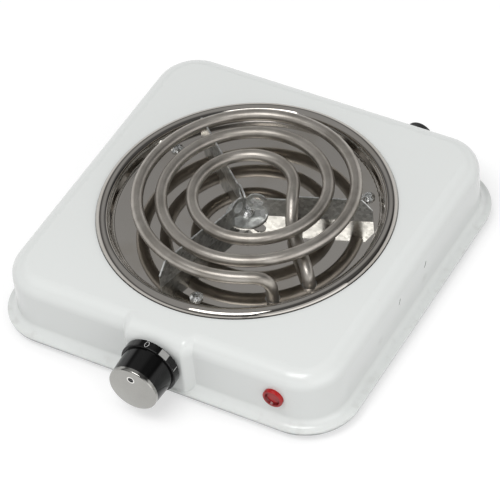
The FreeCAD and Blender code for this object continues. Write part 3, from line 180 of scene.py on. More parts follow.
class Graph:
    """A node tree, with short calls for the nodes that the materials and the room share."""

    def __init__(self, tree: bpy.types.NodeTree) -> None:
        """Takes the node tree to add to."""
        self.tree = tree

    def add(self, kind: str, **settings: str) -> bpy.types.Node:
        """Adds one node.

        Args:
            kind: Blender's name for the node type.
            settings: Properties to set on the node.

        Returns:
            The new node.
        """
        node = self.tree.nodes.new(kind)
        for key, value in settings.items():
            setattr(node, key, value)
        return node

    def feed(self, socket: Socket, value: Feed) -> None:
        """Links a socket to another node, or sets its constant.

        Args:
            socket: The input to fill.
            value: An output socket or a constant.
        """
        if isinstance(value, Socket):
            self.tree.links.new(value, socket)
        elif socket.type == "RGBA":
            socket.default_value = (*value, 1.0)
        else:
            socket.default_value = value

    def axes(self, vector: Socket) -> dict[str, Socket]:
        """Splits a vector.

        Args:
            vector: The vector's output.

        Returns:
            Its X, Y and Z by name.
        """
        node = self.add("ShaderNodeSeparateXYZ")
        self.feed(node.inputs[0], vector)
        return {output.name: output for output in node.outputs}

    def combine(self, operation: str, first: Feed, second: Feed = 0.0) -> Socket:
        """Works out one sum of two values.

        Args:
            operation: Blender's name for the operation.
            first: The first value.
            second: The second value, if the operation has one.

        Returns:
            The result.
        """
        node = self.add("ShaderNodeMath", operation=operation)
        self.feed(node.inputs[0], first)
        self.feed(node.inputs[1], second)
        return node.outputs[0]

    def span(self, source: Feed, given: Span, wanted: tuple[Feed, Feed],
             easing: Easing = Easing.SMOOTH) -> Socket:
        """Maps a value from one span to another.

        Args:
            source: The value.
            given: The span that it comes from.
            wanted: The span that it goes to.
            easing: How it goes from end to end.

        Returns:
            The mapped value.
        """
        node = self.add("ShaderNodeMapRange", interpolation_type=easing.value)
        for socket, value in zip(node.inputs, (source, *given, *wanted)):
            self.feed(socket, value)
        return node.outputs[0]

    def seen(self, path: bpy.types.Node) -> Socket:
        """1 for rays that show the background: direct, reflected or through glass.

        Args:
            path: The tree's Light Path node.

        Returns:
            The factor.
        """
        factor = path.outputs["Is Camera Ray"]
        for name in ("Is Glossy Ray", "Is Transmission Ray"):
            factor = self.combine("MAXIMUM", factor, path.outputs[name])
        return factor


class Shader(Graph):
    """One material's node tree, in the object's own coordinates."""

    def __init__(self, name: str) -> None:
        """Starts a material.

        Args:
            name: The material's name.
        """
        self.material = bpy.data.materials.new(name)
        self.material.use_nodes = True
        super().__init__(self.material.node_tree)
        self.surface = self.tree.nodes["Principled BSDF"]
        self.where = self.add("ShaderNodeTexCoord").outputs["Object"]

    def set(self, **values: Feed) -> None:
        """Fills the surface's own sockets, by name with _ for each space."""
        for key, value in values.items():
            self.feed(self.surface.inputs[key.replace("_", " ")], value)

    def stretched(self, scale: Point) -> Socket:
        """Object coordinates, scaled along each axis.

        Args:
            scale: Factors along X, Y and Z.

        Returns:
            The vector output.
        """
        mapping = self.add("ShaderNodeMapping")
        self.feed(mapping.inputs["Vector"], self.where)
        self.feed(mapping.inputs["Scale"], scale)
        return mapping.outputs["Vector"]

    def noise(self, pattern: Noise, where: Socket | None = None,
              across: Across = Across.SPACE) -> Socket:
        """Cloudy noise from 0 to 1.

        Args:
            pattern: The noise.
            where: Coordinates, or None for the object's own.
            across: What the noise changes along.

        Returns:
            The noise value.
        """
        dimensions, socket = across.value
        node = self.add("ShaderNodeTexNoise", noise_dimensions=dimensions)
        self.feed(node.inputs[socket], self.where if where is None else where)
        self.feed(node.inputs["Scale"], pattern.scale)
        self.feed(node.inputs["Detail"], pattern.detail)
        return node.outputs[0]

    def clouds(self, pattern: Clouds, where: Socket | None = None) -> Socket:
        """Noise that is spread over the pattern's own values."""
        return self.span(self.noise(pattern, where), pattern.edges, pattern.values)

    def cells(self, scale: float) -> Socket:
        """A random tone for each crystal of a cell pattern.

        Args:
            scale: Cells per metre.

        Returns:
            The tone of the cell.
        """
        node = self.add("ShaderNodeTexVoronoi")
        self.feed(node.inputs["Vector"], self.where)
        self.feed(node.inputs["Scale"], scale)
        return node.outputs["Color"]

    def blend(self, factor: Feed, first: Feed, second: Feed) -> Socket:
        """Mixes two colours.

        Args:
            factor: 0 for the first colour and 1 for the second.
            first: A colour or an output.
            second: A colour or an output.

        Returns:
            The mixed colour.
        """
        node = self.add("ShaderNodeMix", data_type="RGBA")
        self.feed(node.inputs[MIX_FACTOR], factor)
        for index, colour in zip(MIX_COLOURS, (first, second)):
            self.feed(node.inputs[index], colour)
        return node.outputs[MIX_RESULT]

    def away(self, point: Point, keep: Point = ALL_ROUND) -> Socket:
        """Distance from a point, along the axes that are kept.

        Args:
            point: The point.
            keep: 1 for an axis that counts and 0 for one that doesn't.

        Returns:
            The distance in metres.
        """
        flat = self.add("ShaderNodeVectorMath", operation="MULTIPLY")
        self.feed(flat.inputs[0], self.where)
        self.feed(flat.inputs[1], keep)
        node = self.add("ShaderNodeVectorMath", operation="DISTANCE")
        self.feed(node.inputs[0], flat.outputs[0])
        self.feed(node.inputs[1], [part * kept for part, kept in zip(point, keep)])
        return node.outputs["Value"]

    def roughen(self, pattern: Socket, roughness: Span) -> None:
        """Sets the roughness at a noise's low and high places."""
        self.set(Roughness=self.span(pattern, NOISE_RANGE, roughness))

    def bump(self, height: Socket, depth: float, strength: float = 1.0) -> None:
        """Raises the surface by a height map, on top of any earlier one.

        Args:
            height: The height from 0 to 1.
            depth: The real depth in metres.
            strength: How much of it shows.
        """
        node = self.add("ShaderNodeBump")
        self.feed(node.inputs["Height"], height)
        self.feed(node.inputs["Distance"], depth)
        self.feed(node.inputs["Strength"], strength)
        normal = self.surface.inputs["Normal"]
        if normal.is_linked:
            self.feed(node.inputs["Normal"], normal.links[0].from_socket)
        self.feed(normal, node.outputs["Normal"])

    def emboss(self, pattern: Relief, height: Socket | None = None) -> None:
        """Raises the surface by a relief.

        Args:
            pattern: The relief.
            height: Its noise where that is made already, or None.
        """
        if height is None:
            height = self.noise(pattern)
        self.bump(height, pattern.depth, pattern.strength)


@dataclass(frozen=True)
class Finish:
    """A named surface finish with one main colour."""

    name: str
    colour: Colour

    def material(self) -> bpy.types.Material:
        """Makes the Blender material.

        Returns:
            The painted material.
        """
        shader = Shader(self.name)
        self.paint(shader)
        return shader.material

    def paint(self, shader: Shader) -> None:
        """Fills the material's node tree; each finish has its own way."""
        raise NotImplementedError


@dataclass(frozen=True)
class EnamelFinish(Finish):
    """Glossy stoved enamel on pressed steel, with faint weld marks and painted shade inside its slits.
    """

    paler: float = 1.04
    paler_patches: Noise = Noise(9.0, 2.0)
    gloss: Span = (0.15, 0.22)
    gloss_patches: Noise = Noise(45.0, 3.0)
    coat: float = 0.15
    coat_roughness: float = 0.10
    refraction: float = 1.50
    peel: Relief = Relief(230.0, 2.0, 0.05 * MM, 0.35)
    dust: Colour = (0.60, 0.60, 0.58)
    dust_height: Span = (7.0 * MM, 13.0 * MM)
    dust_patches: Clouds = Clouds(160.0, 6.0, (0.50, 0.72), (0.0, 0.45))
    specks: Clouds = Clouds(900.0, 1.0, (0.755, 0.79), (0.0, 0.35))
    weld_marks: tuple[Point, ...] = ()
    weld_reach: float = 4.5 * MM
    weld_smear: float = 0.25
    weld_depth: float = 0.22 * MM
    weld_strength: float = 0.8
    slits: tuple[Point, ...] = ()
    slit_reach: Span = (2.565 * MM, 2.7 * MM)
    slit_behind: Span = (0.12 * MM, 0.04 * MM)
    # Near-black painted shade for the insides of the slits.
    slit_painted_shade: Colour = (0.035, 0.034, 0.032)

    def paint(self, shader: Shader) -> None:
        """Paints tone, dust low on the walls, painted shade inside the slits, orange peel and weld
        marks.

        Args:
            shader: The material's node tree.
        """
        axes = shader.axes(shader.where)
        paler = tuple(min(1.0, part * self.paler) for part in self.colour)
        tone = shader.blend(shader.noise(self.paler_patches), self.colour, paler)
        near_lip = shader.span(axes["Z"], self.dust_height, FALLING)
        dusty = shader.combine("MULTIPLY", near_lip, shader.clouds(self.dust_patches))
        tone = shader.blend(dusty, tone, self.dust)
        tone = shader.blend(shader.clouds(self.specks), tone, self.dust)
        # Painted shade: inside each slit, behind the wall's face, the enamel is painted near black.
        for slit in self.slits:
            near = shader.span(shader.away(slit), self.slit_reach, FALLING)
            behind = tuple(slit[0] - depth for depth in self.slit_behind)
            sunk = shader.span(axes["X"], behind, FALLING)
            tone = shader.blend(shader.combine("MULTIPLY", near, sunk), tone, self.slit_painted_shade)
        for mark in self.weld_marks:
            smear = shader.span(shader.away(mark), (0.0, self.weld_reach), (self.weld_smear, 0.0))
            tone = shader.blend(smear, tone, self.dust)
        shader.set(Base_Color=tone, IOR=self.refraction)
        shader.set(Coat_Weight=self.coat, Coat_Roughness=self.coat_roughness)
        shader.roughen(shader.noise(self.gloss_patches), self.gloss)
        shader.emboss(self.peel)
        for mark in self.weld_marks:
            dent = shader.span(shader.away(mark), (0.0, self.weld_reach), RISING)
            shader.bump(dent, self.weld_depth, self.weld_strength)


@dataclass(frozen=True)
class SpunSteelFinish(Finish):
    """Bright steel spun and polished about the burner's axis, a little wavy and heat-tinted."""

    tint: Colour = (0.435, 0.40, 0.352)
    stains: Clouds = Clouds(38.0, 5.0, (0.45, 0.75), (0.0, 0.6))
    gloss: Span = (0.03, 0.08)
    rings: Relief = Relief(900.0, 4.0, 0.003 * MM, 0.3)
    waves: Relief = Relief(24.0, 1.0, 0.12 * MM, 0.22)
    centre: Point = BURNER_CENTRE
    rim_radius: float = 0.0
    deck: float = 0.0
    # Painted shade where the rim's underside meets the housing's top, near black.
    seam_height: Span = (0.5 * MM, 1.2 * MM)
    seam_reach: Span = (1.2 * MM, 0.96 * MM)
    painted_seam_shade: Colour = (0.035, 0.033, 0.030)

    def paint(self, shader: Shader) -> None:
        """Paints the tint, painted shade in the seam under the rim, polishing rings and slow waves.

        Args:
            shader: The material's node tree.
        """
        radius = shader.away(self.centre, ROUND_Z)
        tone = shader.blend(shader.clouds(self.stains), self.colour, self.tint)
        # Painted shade: the outer, lowest part of the rim, next to the housing's top, is darkened.
        reach = tuple(self.rim_radius - inward for inward in self.seam_reach)
        height = tuple(self.deck + above for above in self.seam_height)
        outside = shader.span(radius, reach, RISING)
        low = shader.span(shader.axes(shader.where)["Z"], height, FALLING)
        tone = shader.blend(shader.combine("MULTIPLY", outside, low), tone, self.painted_seam_shade)
        shader.set(Base_Color=tone, Metallic=1.0)
        rings = shader.noise(self.rings, radius, Across.LINE)
        shader.roughen(rings, self.gloss)
        shader.emboss(self.rings, rings)
        shader.emboss(self.waves)


@dataclass(frozen=True)
class SheathFinish(Finish):
    """Satin nickel-alloy tube with a mottled oxide skin and drawing lines."""

    oxide: Colour = (0.31, 0.284, 0.250)
    oxide_clouds: Clouds = Clouds(75.0, 6.0, (0.36, 0.72), (0.0, 0.7))
    flecks: Clouds = Clouds(1100.0, 2.0, (0.60, 0.74), (0.0, 0.5))
    gloss: Span = (0.36, 0.46)
    grain: Relief = Relief(1600.0, 3.0, 0.03 * MM, 0.40)
    streaks: Relief = Relief(60.0, 4.0, 0.02 * MM, 0.35)
    streak_stretch: Point = (1.0, 1.0, 22.0)

    def paint(self, shader: Shader) -> None:
        """Paints oxide clouds, streaks and fine grain.

        Args:
            shader: The material's node tree.
        """
        tone = shader.blend(shader.clouds(self.oxide_clouds), self.colour, self.oxide)
        tone = shader.blend(shader.clouds(self.flecks), tone, self.oxide)
        shader.set(Base_Color=tone, Metallic=1.0)
        streaks = shader.noise(self.streaks, shader.stretched(self.streak_stretch))
        shader.roughen(streaks, self.gloss)
        shader.emboss(self.grain)
        shader.emboss(self.streaks, streaks)


@dataclass(frozen=True)
class SpangleFinish(Finish):
    """Zinc on sheet or screws: bright crystals of different tone and dullness."""

    dull: Colour = (0.48, 0.485, 0.475)
    crystal: float = 260.0
    crystal_depth: float = 0.02 * MM
    crystal_strength: float = 0.04
    finer: float = 3.7
    gloss: Span = (0.14, 0.24)
    scratches: Clouds = Clouds(700.0, 2.0, (0.62, 0.75), (0.0, 0.4))
    scratch_stretch: Point = (0.06, 1.0, 1.0)
    dents: Relief = Relief(300.0, 2.0, 0.03 * MM, 0.10)

    def paint(self, shader: Shader) -> None:
        """Paints the crystals, fine scratches and a slight dent pattern.

        Args:
            shader: The material's node tree.
        """
        crystals = shader.cells(self.crystal)
        tone = shader.blend(crystals, self.dull, self.colour)
        scratches = shader.clouds(self.scratches, shader.stretched(self.scratch_stretch))
        shader.set(Base_Color=shader.blend(scratches, tone, self.dull), Metallic=1.0)
        small = shader.cells(self.crystal * self.finer)
        shader.set(Roughness=shader.span(small, RISING, self.gloss))
        shader.bump(crystals, self.crystal_depth, self.crystal_strength)
        shader.emboss(self.dents)


@dataclass(frozen=True)
class BladeFinish(SpangleFinish):
    """Zinc on the support's blades, shaded as if the sheet leaned back a little from upright."""

    lean: float = 0.10

    def paint(self, shader: Shader) -> None:
        """Leans the faces, then paints the zinc.

        Args:
            shader: The material's node tree.
        """
        height = shader.axes(shader.where)["Z"]
        shader.bump(shader.combine("MULTIPLY", height, -self.lean), 1.0)
        super().paint(shader)


@dataclass(frozen=True)
class BrushedFinish(Finish):
    """Metal with a brushed or turned grain, and an optional dark dot in a pale ring on its face."""

    grain: Point = (30.0, 30.0, 2600.0)
    lines: Relief = Relief(1.0, 3.0, 0.006 * MM, 0.35)
    gloss: Span = (0.20, 0.32)
    worn: float = 0.85
    worn_patches: Noise = Noise(130.0, 4.0)
    waves: Relief = Relief(60.0, 2.0, 0.05 * MM, 0.15)
    dot: Point | None = None
    dot_radius: float = 1.75 * MM
    dot_colour: Colour = (0.012, 0.012, 0.013)
    ring_radius: float = 2.45 * MM
    ring_colour: Colour = (0.80, 0.79, 0.76)
    print_edge: float = 0.06 * MM

    def paint(self, shader: Shader) -> None:
        """Paints grain, worn patches and the dot.

        Args:
            shader: The material's node tree.
        """
        lines = shader.noise(self.lines, shader.stretched(self.grain))
        worn = tuple(part * self.worn for part in self.colour)
        tone = shader.blend(shader.noise(self.worn_patches), self.colour, worn)
        if self.dot is None:
            shader.set(Base_Color=tone, Metallic=1.0)
        else:
            tone = shader.blend(self.disc(shader, self.ring_radius), tone, self.ring_colour)
            on_dot = self.disc(shader, self.dot_radius)
            shader.set(Base_Color=shader.blend(on_dot, tone, self.dot_colour))
            shader.set(Metallic=shader.combine("SUBTRACT", 1.0, on_dot))
        shader.roughen(lines, self.gloss)
        shader.emboss(self.lines, lines)
        shader.emboss(self.waves)

    def disc(self, shader: Shader, radius: float) -> Socket:
        """1 on a disc of this radius round the dot's middle, and 0 off it."""
        edges = (radius - self.print_edge, radius + self.print_edge)
        return shader.span(shader.away(self.dot, ROUND_Y), edges, FALLING)


@dataclass(frozen=True)
class CrownedFinish(BrushedFinish):
    """Polished metal disc that faces along Y, shaded as if it rose a little in the middle."""

    crown_radius: float = 70.0 * MM
    middle: Point = (0.0, 0.0, 0.0)

    def paint(self, shader: Shader) -> None:
        """Crowns the disc, then paints the metal.

        Args:
            shader: The material's node tree.
        """
        off_axis = shader.away(self.middle, ROUND_Y)
        square = shader.combine("MULTIPLY", off_axis, off_axis)
        fall = -1.0 / (2.0 * self.crown_radius)
        shader.bump(shader.combine("MULTIPLY", square, fall), 1.0)
        super().paint(shader)


@dataclass(frozen=True)
class MouldedFinish(Finish):
    """Plastic, rubber, ceramic or print with a fine grain and light scuffs."""

    scuff: Colour = (0.05, 0.05, 0.05)
    scuffs: Clouds = Clouds(210.0, 7.0, (0.56, 0.80), (0.0, 0.5))
    gloss: Span = (0.22, 0.34)
    gloss_patches: Noise = Noise(90.0, 4.0)
    sheen_level: float = 0.5
    grain: float = 1400.0
    grain_detail: float = 2.0
    grain_depth: float = 0.02 * MM
    grain_strength: float = 0.5

    def paint(self, shader: Shader) -> None:
        """Paints tone, scuffs and grain.

        Args:
            shader: The material's node tree.
        """
        tone = shader.blend(shader.clouds(self.scuffs), self.colour, self.scuff)
        shader.set(Base_Color=tone, Specular_IOR_Level=self.sheen_level)
        shader.roughen(shader.noise(self.gloss_patches), self.gloss)
        shader.emboss(Relief(self.grain, self.grain_detail, self.grain_depth, self.grain_strength))


@dataclass(frozen=True)
class SleeveFinish(Finish):
    """Insulated lead with a soft sheen, an uneven tone and a woven skin."""

    shade: float = 0.78
    shade_patches: Noise = Noise(240.0, 4.0)
    gloss: Span = (0.42, 0.58)
    gloss_patches: Noise = Noise(320.0, 3.0)
    weave: float = 950.0
    weave_depth: float = 0.04 * MM
    weave_strength: float = 0.4

    def paint(self, shader: Shader) -> None:
        """Paints the uneven tone and the woven skin.

        Args:
            shader: The material's node tree.
        """
        darker = tuple(part * self.shade for part in self.colour)
        shader.set(Base_Color=shader.blend(shader.noise(self.shade_patches), self.colour, darker))
        shader.roughen(shader.noise(self.gloss_patches), self.gloss)
        warp = shader.add("ShaderNodeTexWave", bands_direction="DIAGONAL")
        shader.feed(warp.inputs["Vector"], shader.where)
        shader.feed(warp.inputs["Scale"], self.weave)
        shader.bump(warp.outputs[1], self.weave_depth, self.weave_strength)


@dataclass(frozen=True)
class LensFinish(Finish):
    """Clear or tinted moulding that lets light through, with fine ribs round its axis and an optional
    ring of painted shade.
    """

    axis: Point = (0.0, 0.0, 0.0)
    # Darker tint for moulding flaws, and also the colour of the ring of painted shade.
    darker_tint_and_shade: Colour = (0.05, 0.001, 0.001)
    clear: float = 0.25
    refraction: float = 1.49
    sheen_level: float = 0.4
    flaws: Clouds = Clouds(420.0, 4.0, (0.50, 0.76), (0.0, 0.45))
    ring_radius: float = 4.2 * MM
    ring_width: float = 1.3 * MM
    ring_shade: float = 0.0
    rib_pitch: float = 900.0
    rib_depth: float = 0.03 * MM
    rib_strength: float = 0.25
    gloss: Span = (0.05, 0.14)
    gloss_patches: Noise = Noise(300.0, 3.0)
    grain: Relief = Relief(700.0, 2.0, 0.03 * MM, 0.35)

    def paint(self, shader: Shader) -> None:
        """Paints the tint, a ring of painted shade inside the dish, ribs and moulding marks.

        Args:
            shader: The material's node tree.
        """
        radius = shader.away(self.axis, ROUND_Y)
        tone = shader.blend(shader.clouds(self.flaws), self.colour, self.darker_tint_and_shade)
        # Painted shade: a darker ring inside the dish, standing in for the lens's inner shading.
        off_ring = shader.combine("ABSOLUTE", shader.combine("SUBTRACT", radius, self.ring_radius))
        painted_ring_shade = shader.span(off_ring, (0.0, self.ring_width), (self.ring_shade, 0.0))
        shader.set(Base_Color=shader.blend(painted_ring_shade, tone, self.darker_tint_and_shade))
        shader.set(Transmission_Weight=self.clear, IOR=self.refraction)
        shader.set(Specular_IOR_Level=self.sheen_level)
        shader.roughen(shader.noise(self.gloss_patches), self.gloss)
        turns = shader.combine("MULTIPLY", radius, self.rib_pitch * math.tau)
        ribs = shader.span(shader.combine("SINE", turns), (-1.0, 1.0), RISING)
        shader.bump(ribs, self.rib_depth, self.rib_strength)
        shader.emboss(self.grain)


@dataclass(frozen=True)
class FloorFinish(Finish):
    """Matt white table that glows where it is seen, directly or in reflections."""

    roughness: float = 0.9
    glow: float = 0.48

    def paint(self, shader: Shader) -> None:
        """Paints the plain matt white and its glow.

        Args:
            shader: The material's node tree.
        """
        shader.set(Base_Color=self.colour, Roughness=self.roughness, Specular_IOR_Level=0.0)
        seen = shader.seen(shader.add("ShaderNodeLightPath"))
        shader.set(Emission_Color=WHITE, Emission_Strength=shader.combine("MULTIPLY", seen, self.glow))


ENAMEL = EnamelFinish(
    "white_enamel", (0.728, 0.746, 0.733),
    weld_marks=((108.6 * MM, 25.9 * MM, 19.4 * MM), (108.6 * MM, -30.1 * MM, 20.5 * MM)),
    slits=((108.6 * MM, -5.5 * MM, 29.7 * MM), (108.6 * MM, 27.2 * MM, 29.7 * MM)))
GALVANISED = SpangleFinish(
    "galvanised_sheet", (0.56, 0.57, 0.57), dull=(0.38, 0.39, 0.39), crystal=120.0,
    gloss=(0.30, 0.45))
ZINC = SpangleFinish(
    "zinc_plate", (0.82, 0.83, 0.82), dull=(0.58, 0.585, 0.575), gloss=(0.18, 0.30))
BLADES = BladeFinish(
    "zinc_blades", (0.82, 0.83, 0.81), dull=(0.40, 0.405, 0.395), crystal=520.0,
    gloss=(0.30, 0.42))
POLISHED = SpunSteelFinish("polished_steel", (0.50, 0.475, 0.442))
SHEATH = SheathFinish("element_sheath", (0.48, 0.45, 0.41))
BLACK_PLASTIC = MouldedFinish(
    "black_plastic", (0.0035, 0.0035, 0.0035), scuff=(0.008, 0.008, 0.008), gloss=(0.08, 0.13),
    sheen_level=0.30)
SATIN_CAP = CrownedFinish(
    "satin_cap", (0.40, 0.395, 0.375), grain=(25.0, 25.0, 1900.0), gloss=(0.10, 0.16))
TURNED = BrushedFinish("turned_steel", (0.48, 0.47, 0.46), grain=(2200.0, 30.0, 30.0))
BLACK_RUBBER = MouldedFinish(
    "black_rubber", (0.016, 0.016, 0.016), scuff=(0.05, 0.05, 0.048), gloss=(0.45, 0.65),
    grain=900.0, grain_depth=0.05 * MM)
STEATITE = MouldedFinish(
    "steatite", (0.70, 0.67, 0.60), scuff=(0.52, 0.48, 0.41), gloss=(0.35, 0.55), grain=800.0)
BRASS = BrushedFinish("brass", (0.66, 0.48, 0.20), grain=(30.0, 2000.0, 30.0), gloss=(0.22, 0.36))
BIMETAL = BrushedFinish(
    "bimetal", (0.50, 0.44, 0.38), grain=(30.0, 30.0, 1500.0), gloss=(0.28, 0.42))
DIAL_PRINT = MouldedFinish(
    "dial_print", (0.62, 0.62, 0.61), scuff=(0.40, 0.40, 0.40), gloss=(0.35, 0.5), grain=2600.0,
    grain_depth=0.01 * MM)
DIAL_BLOCK = MouldedFinish(
    "dial_block", (0.33, 0.33, 0.32), scuff=(0.12, 0.12, 0.118), gloss=(0.2, 0.3), grain=2000.0,
    grain_depth=0.01 * MM)
# The red lens carries a ring of painted shade inside its dish.
RED_LENS = LensFinish("red_lens", (0.52, 0.006, 0.008), ring_shade=0.7)
LAMP_GLASS = LensFinish("lamp_glass", (0.80, 0.78, 0.74), darker_tint_and_shade=(0.62, 0.56, 0.48), clear=0.8)
BROWN_SLEEVE = SleeveFinish("brown_sleeve", (0.16, 0.065, 0.030))
BLUE_SLEEVE = SleeveFinish("blue_sleeve", (0.03, 0.09, 0.30))
GREEN_SLEEVE = SleeveFinish("green_sleeve", (0.20, 0.36, 0.05))
WHITE_SLEEVE = SleeveFinish("white_sleeve", (0.66, 0.65, 0.60))
WHITE_FLOOR = FloorFinish("white_floor", (0.58, 0.58, 0.58))


class Workshop:
    """Keeps the solids by name and one material for each finish."""

    def __init__(self, nodes: dict[str, bpy.types.Object]) -> None:
        """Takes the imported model's objects by node name."""
        self.nodes = nodes
        self.materials: dict[str, bpy.types.Material] = {}

    def material(self, finish: Finish) -> bpy.types.Material:
        """The finish's material, made once.

        Args:
            finish: The finish.

        Returns:
            Its material.
        """
        if finish.name not in self.materials:
            self.materials[finish.name] = finish.material()
        return self.materials[finish.name]

    def dress(self, finishes: dict[str, Finish]) -> None:
        """Gives solids their finish.

        Args:
            finishes: The finish of each node.
        """
        for name, finish in finishes.items():
            solid = self.nodes[name]
            material = self.material(finish)
            if not solid.material_slots:
                solid.data.materials.append(material)
            for slot in solid.material_slots:
                slot.material = material
            LOG.info("%s dressed in %s", name, finish.name)

    def place(self, name: str, mesh: bpy.types.Mesh, finish: Finish, body: Body) -> None:
        """Adds a new piece that rides on a body.

        Args:
            name: The piece's name.
            mesh: Its mesh, in place.
            finish: Its finish.
            body: The body that carries it.
        """
        piece = put_in_scene(name, mesh)
        mesh.materials.append(self.material(finish))
        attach(piece, body.value)
        LOG.info("%s made, on %s", name, body.value)


@dataclass
class Assembly:
    """A sub-assembly of the hot plate, with the finish of each of its solids."""

    finishes: dict[str, Finish]

    def dress(self, shop: Workshop) -> None:
        """Dresses the sub-assembly's solids, which the workshop holds."""
        shop.dress(self.finishes)


@dataclass(frozen=True)
class SoftBox:
    """One soft box: the way to it from the burner, its distance, its width and height, its power."""

    name: str
    way: Point
    distance: float
    size: Span
    watts: float

    def build(self, target: Point) -> None:
        """Hangs the lamp so that it points at the burner.

        Args:
            target: The burner's centre.
        """
        data = bpy.data.lights.new(self.name, "AREA")
        data.shape = "RECTANGLE"
        data.size, data.size_y = self.size
        data.energy = self.watts
        lamp = put_in_scene(self.name, data)
        way = Vector(self.way).normalized()
        lamp.location = Vector(target) + way * self.distance
        lamp.rotation_euler = way.to_track_quat("Z", "Y").to_euler()


@dataclass
class Studio:
    """Camera, white floor, a room with walls of several tones, and two soft boxes."""

    yaw: float = math.radians(33.44)
    pitch: float = math.radians(45.54)
    roll: float = math.radians(6.38)
    aside: float = -0.716 * MM
    above: float = 7.367 * MM
    distance: float = 1854.7 * MM
    lens: float = 223.3
    sensor: float = 36.0
    far_end: float = 50.0
    target: Point = BURNER_CENTRE
    floor_half: float = 6.0
    floor: FloorFinish = WHITE_FLOOR
    ambient: float = 0.66
    room_tones: tuple[Span, ...] = (
        (0.0, 1.0), (0.36, 0.85), (0.49, 0.10), (0.60, 0.16), (0.71, 0.43))
    flag_across: Span = (0.0, 0.25)
    flag_height: Span = (0.42, 0.52)
    flag_light: float = 0.25
    boxes: tuple[SoftBox, ...] = (
        SoftBox("front_box", (0.02, -0.44, 0.898), 1.6, (0.9, 0.6), 8.8),
        SoftBox("fill_box", (0.85, -0.38, 0.36), 1.7, (1.8, 1.5), 6.0))

    def build(self) -> None:
        """Builds everything that isn't part of the object."""
        self.build_camera()
        self.build_floor()
        self.build_room()
        for box in self.boxes:
            box.build(self.target)
        bpy.context.scene.view_settings.view_transform = "Standard"

    def build_camera(self) -> None:
        """A long lens at the photograph's angle, with its slight tilt."""
        back = Vector((
            math.sin(self.yaw) * math.cos(self.pitch),
            -math.cos(self.yaw) * math.cos(self.pitch),
            math.sin(self.pitch)))
        right = Vector((math.cos(self.yaw), math.sin(self.yaw), 0.0))
        up = back.cross(right)
        spot = Vector(self.target) + right * self.aside + up * self.above + back * self.distance
        across = right * math.cos(self.roll) - up * math.sin(self.roll)
        upward = right * math.sin(self.roll) + up * math.cos(self.roll)
        data = bpy.data.cameras.new("camera")
        data.lens = self.lens
        data.sensor_width = self.sensor
        data.clip_end = self.far_end
        camera = put_in_scene("camera", data)
        turn = Matrix((across, upward, back)).transposed()
        camera.matrix_world = Matrix.Translation(spot) @ turn.to_4x4()
        bpy.context.scene.camera = camera
        LOG.info("camera %.2f m away", self.distance)

    def build_floor(self) -> None:
        """A white table that keeps the object's shadow."""
        mesh = bpy.data.meshes.new("floor")
        form = bmesh.new()
        bmesh.ops.create_grid(form, x_segments=1, y_segments=1, size=self.floor_half)
        form.to_mesh(mesh)
        form.free()
        floor = put_in_scene("floor", mesh)
        mesh.materials.append(self.floor.material())

    def build_room(self) -> None:
        """Even soft light on the object, and a room in its reflections.

        In them the room is white low down, dark above eye level and grey overhead, and a flag
        on the right shades its upper part. Seen directly, it is plain white.
        """
        world = bpy.data.worlds.new("studio")
        world.use_nodes = True
        bpy.context.scene.world = world
        graph = Graph(world.node_tree)
        soft = graph.tree.nodes["Background"]
        graph.feed(soft.inputs["Color"], WHITE)
        graph.feed(soft.inputs["Strength"], self.ambient)
        way = graph.axes(graph.add("ShaderNodeTexCoord").outputs["Generated"])
        flag_light = graph.span(way["Z"], self.flag_height, (1.0, self.flag_light), Easing.EVEN)
        flag = graph.span(way["X"], self.flag_across, (1.0, flag_light), Easing.EVEN)
        tone = graph.combine("MULTIPLY", self.wall_tone(graph, way["Z"]), flag)
        path = graph.add("ShaderNodeLightPath")
        room = graph.add("ShaderNodeBackground")
        graph.feed(room.inputs["Color"], WHITE)
        direct = path.outputs["Is Camera Ray"]
        graph.feed(room.inputs["Strength"], graph.combine("MAXIMUM", direct, tone))
        mix = graph.add("ShaderNodeMixShader")
        for socket, value in zip(mix.inputs, (graph.seen(path), soft.outputs[0], room.outputs[0])):
            graph.feed(socket, value)
        graph.feed(graph.tree.nodes["World Output"].inputs[0], mix.outputs[0])

    def wall_tone(self, graph: Graph, height: Socket) -> Socket:
        """The tone of the room's walls, by height.

        Args:
            graph: The world's node tree.
            height: The height of a direction.

        Returns:
            The tone.
        """
        ramp = graph.add("ShaderNodeValToRGB")
        stops = ramp.color_ramp.elements
        while len(stops) < len(self.room_tones):
            stops.new(1.0)
        for stop, (level, tone) in zip(stops, self.room_tones):
            stop.position = level
            stop.color = (tone, tone, tone, 1.0)
        graph.feed(ramp.inputs[0], height)
        return ramp.outputs[0]


